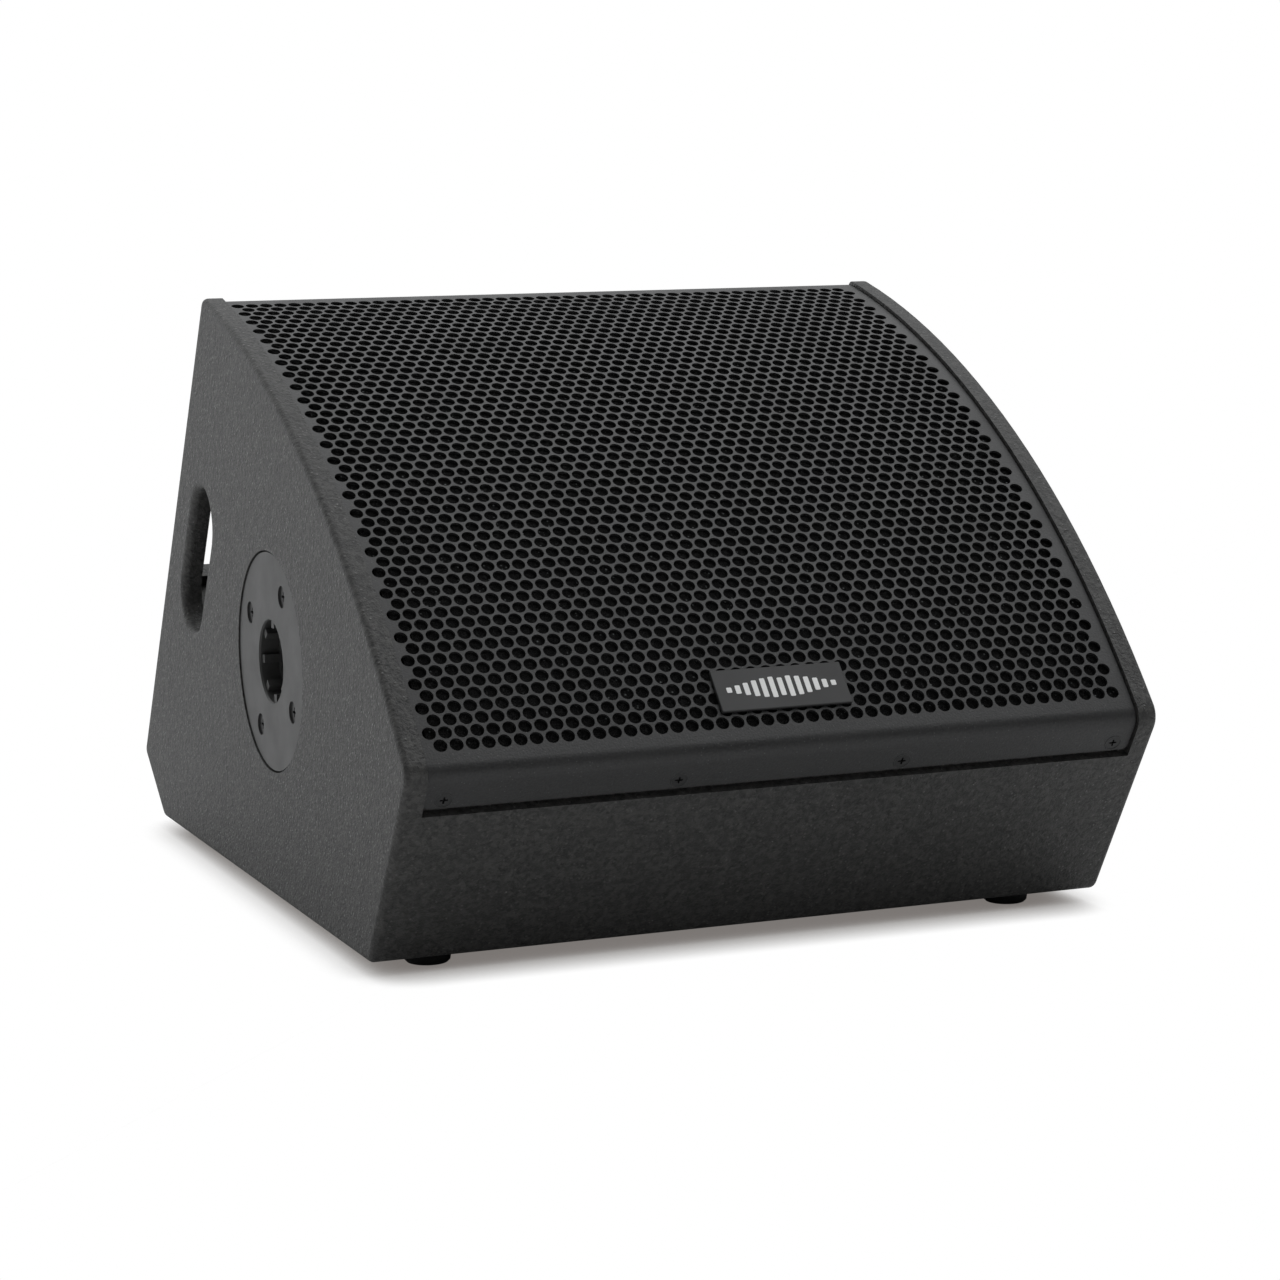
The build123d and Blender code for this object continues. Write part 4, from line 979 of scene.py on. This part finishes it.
def build_wadding():
    low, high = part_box("damping_wadding")
    columns, rows = WADDING_GRID
    vertices, faces = [], []
    for side in (1, 0):
        for row in range(rows + 1):
            for column in range(columns + 1):
                s, t = column / columns, row / rows
                rim = min(1.0, min(s, 1 - s, t, 1 - t) / WADDING_BAND)
                crown = math.sqrt(max(0.0, 1 - (1 - rim) ** 2))
                x, y = low.x + (high.x - low.x) * s, low.y + (high.y - low.y) * t
                puff = noise.noise(Vector((x * 30, y * 30, 4.0))) * 0.5 + 0.5
                middle = low.z + (high.z - low.z) * 0.4
                top = middle + (high.z - middle) * (0.25 + 0.75 * crown) * (0.82 + 0.18 * puff)
                foot = middle + (low.z - middle) * (0.3 + 0.7 * crown)
                vertices.append((x, y, top if side else foot))
    layer = (rows + 1) * (columns + 1)
    for row in range(rows):
        for column in range(columns):
            a = row * (columns + 1) + column
            quad = (a, a + 1, a + columns + 2, a + columns + 1)
            faces.append(quad)
            faces.append(tuple(layer + k for k in reversed(quad)))
    rim_loop = list(range(columns))
    rim_loop += [row * (columns + 1) + columns for row in range(rows)]
    rim_loop += [rows * (columns + 1) + column for column in range(columns, 0, -1)]
    rim_loop += [row * (columns + 1) for row in range(rows, 0, -1)]
    for start, end in zip(rim_loop, rim_loop[1:] + rim_loop[:1]):
        faces.append((end, start, start + layer, end + layer))
    batt = piece("wadding_batt", vertices, faces, "wadding", sharp=70, replaces=["damping_wadding"])


build_wadding()


# ------------------------------------------------------------------ print on the amplifier panel
RECESS_DEPTH = 80.0
PLATE_THICK = 3.0
PLATE_CENTRE = 4.0
amp_origin = on_rear(PLATE_CENTRE, RECESS_DEPTH - PLATE_THICK)
KNOB_PLACES = {
    "knob_input_1": (-148, -28),
    "knob_input_2": (-110, -28),
    "knob_low": (-72, -28),
    "knob_high": (-40, -28),
    "knob_master": (-40, 12),
}


def on_amp(x, y, height):
    """Point on the amplifier panel as seen from behind: x to the viewer's right, y up, over its face."""
    return at(-x, amp_origin + REAR_UP * y + direction(REAR[0]) * height)


def amp_bar(x, y, width, height, turn=0.0, low=-0.02, high=0.08, radius=0.25):
    points = []
    for px, py in rounded_box(width, height, min(radius, width / 2.01, height / 2.01), steps=2):
        cos, sin = math.cos(math.radians(turn)), math.sin(math.radians(turn))
        points.append((x + px * cos - py * sin, y + px * sin + py * cos))
    return plate_block(on_amp, points, low, high)


TICKS = 11                       # of a knob's scale, from -150 to 150 degrees
LONG_TICKS = (0, 5, 10)
marks = []
for x, y in KNOB_PLACES.values():
    for step in range(TICKS):
        turn = -150 + 30 * step
        reach, length = (10.4, 2.4) if step in LONG_TICKS else (10.0, 1.5)
        ray = direction(90 - turn)
        marks.append(amp_bar(x + ray.x * reach, y + ray.y * reach, 0.45, length, -turn))
KNOB_TOP = 13.0                  # over the panel
PRINT_LINES = (
    # x, y, width, height
    (-129, -44.5, 62, 0.5),      # below the inputs' knobs
    (-56, -44.5, 44, 0.5),       # below the tone knobs
    (-91, 4, 0.5, 76),           # between the two groups
    (-14, -7, 9, 0.4),           # over the lamps
    (-14, 24, 6.4, 0.5),         # earth sign: three bars and a stem
    (-14, 22.6, 4.2, 0.5),
    (-14, 21.2, 2.0, 0.5),
    (-14, 27, 0.5, 5),
)
for x, y, width, height in PRINT_LINES:
    marks.append(amp_bar(x, y, width, height))
piece("panel_print", *joined(marks), None, material=print_material, sharp=30)
for name, (x, y) in KNOB_PLACES.items():
    pointer = amp_bar(x, y + 3.2, 0.95, 4.8, low=KNOB_TOP - 0.05, high=KNOB_TOP + 0.42, radius=0.3)
    piece(name + "_pointer", *pointer, None, body=name, material=print_material, sharp=30)


# ------------------------------------------------------------------ floor and backdrop
FLOOR_HALF = 30.0                # metres
FLOOR_BOUNCE = 0.92              # how much of the light the floor gives back
SHADOW_REACH = 0.036             # metres from the object to the end of its contact shadow


def light_path(tree):
    return tree.nodes.new("ShaderNodeLightPath").outputs["Is Camera Ray"]


def floor_material():
    """White sweep: it shows white but for a soft contact shadow, and lights the object dimly."""
    material, tree, shader, _ = new_material("studio_floor")
    shader.inputs["Base Color"].default_value = grey(FLOOR_BOUNCE)
    shader.inputs["Roughness"].default_value = 0.9
    shader.inputs["Specular IOR Level"].default_value = 0.0
    near = node(tree, "AmbientOcclusion", samples=16)
    near.inputs["Distance"].default_value = SHADOW_REACH
    shade = spread(tree, near.outputs["AO"], 0.10, 0.75)
    tone = blend_colour(tree, shade, (0.19, 0.175, 0.165, 1), grey(1.0))
    shown = node(tree, "Emission", tone, 1.0).outputs[0]
    mixed = node(tree, "MixShader", light_path(tree), shader.outputs[0], shown).outputs[0]
    link(tree, tree.nodes["Material Output"].inputs["Surface"], mixed)
    return material


floor_mesh = bpy.data.meshes.new("studio_floor")
floor_corners = [
    (side_x * FLOOR_HALF, side_y * FLOOR_HALF, 0)
    for side_x, side_y in ((-1, -1), (1, -1), (1, 1), (-1, 1))
]
floor_mesh.from_pydata(floor_corners, [], [(0, 1, 2, 3)])
floor_mesh.materials.append(floor_material())
floor = bpy.data.objects.new("studio_floor", floor_mesh)
bpy.context.scene.collection.objects.link(floor)

DIM_ROOM = 0.13                  # strength of the light from everywhere
SOFT_BOXES = (
    # direction to its middle, cosines of its edge and of its full part, strength
    ((0.36, 0.16, 0.92), 0.62, 0.88, 1.35),
    ((-0.44, 0.90, 0.02), 0.42, 0.88, 1.12),
)
tree = world.node_tree
tree.nodes.clear()
way = tree.nodes.new("ShaderNodeTexCoord").outputs["Generated"]
strength = DIM_ROOM
for middle, edge, full, glow in SOFT_BOXES:
    facing = node(tree, "VectorMath", way, middle, operation="DOT_PRODUCT").outputs["Value"]
    strength = maths(tree, "ADD", strength, spread(tree, facing, edge, full, 0.0, glow))
lit = node(tree, "Background", (0.98, 0.99, 1.0, 1), strength).outputs[0]
seen = node(tree, "Background", (1, 1, 1, 1), 1.0).outputs[0]
mixed = node(tree, "MixShader", light_path(tree), lit, seen).outputs[0]
link(tree, tree.nodes.new("ShaderNodeOutputWorld").inputs["Surface"], mixed)
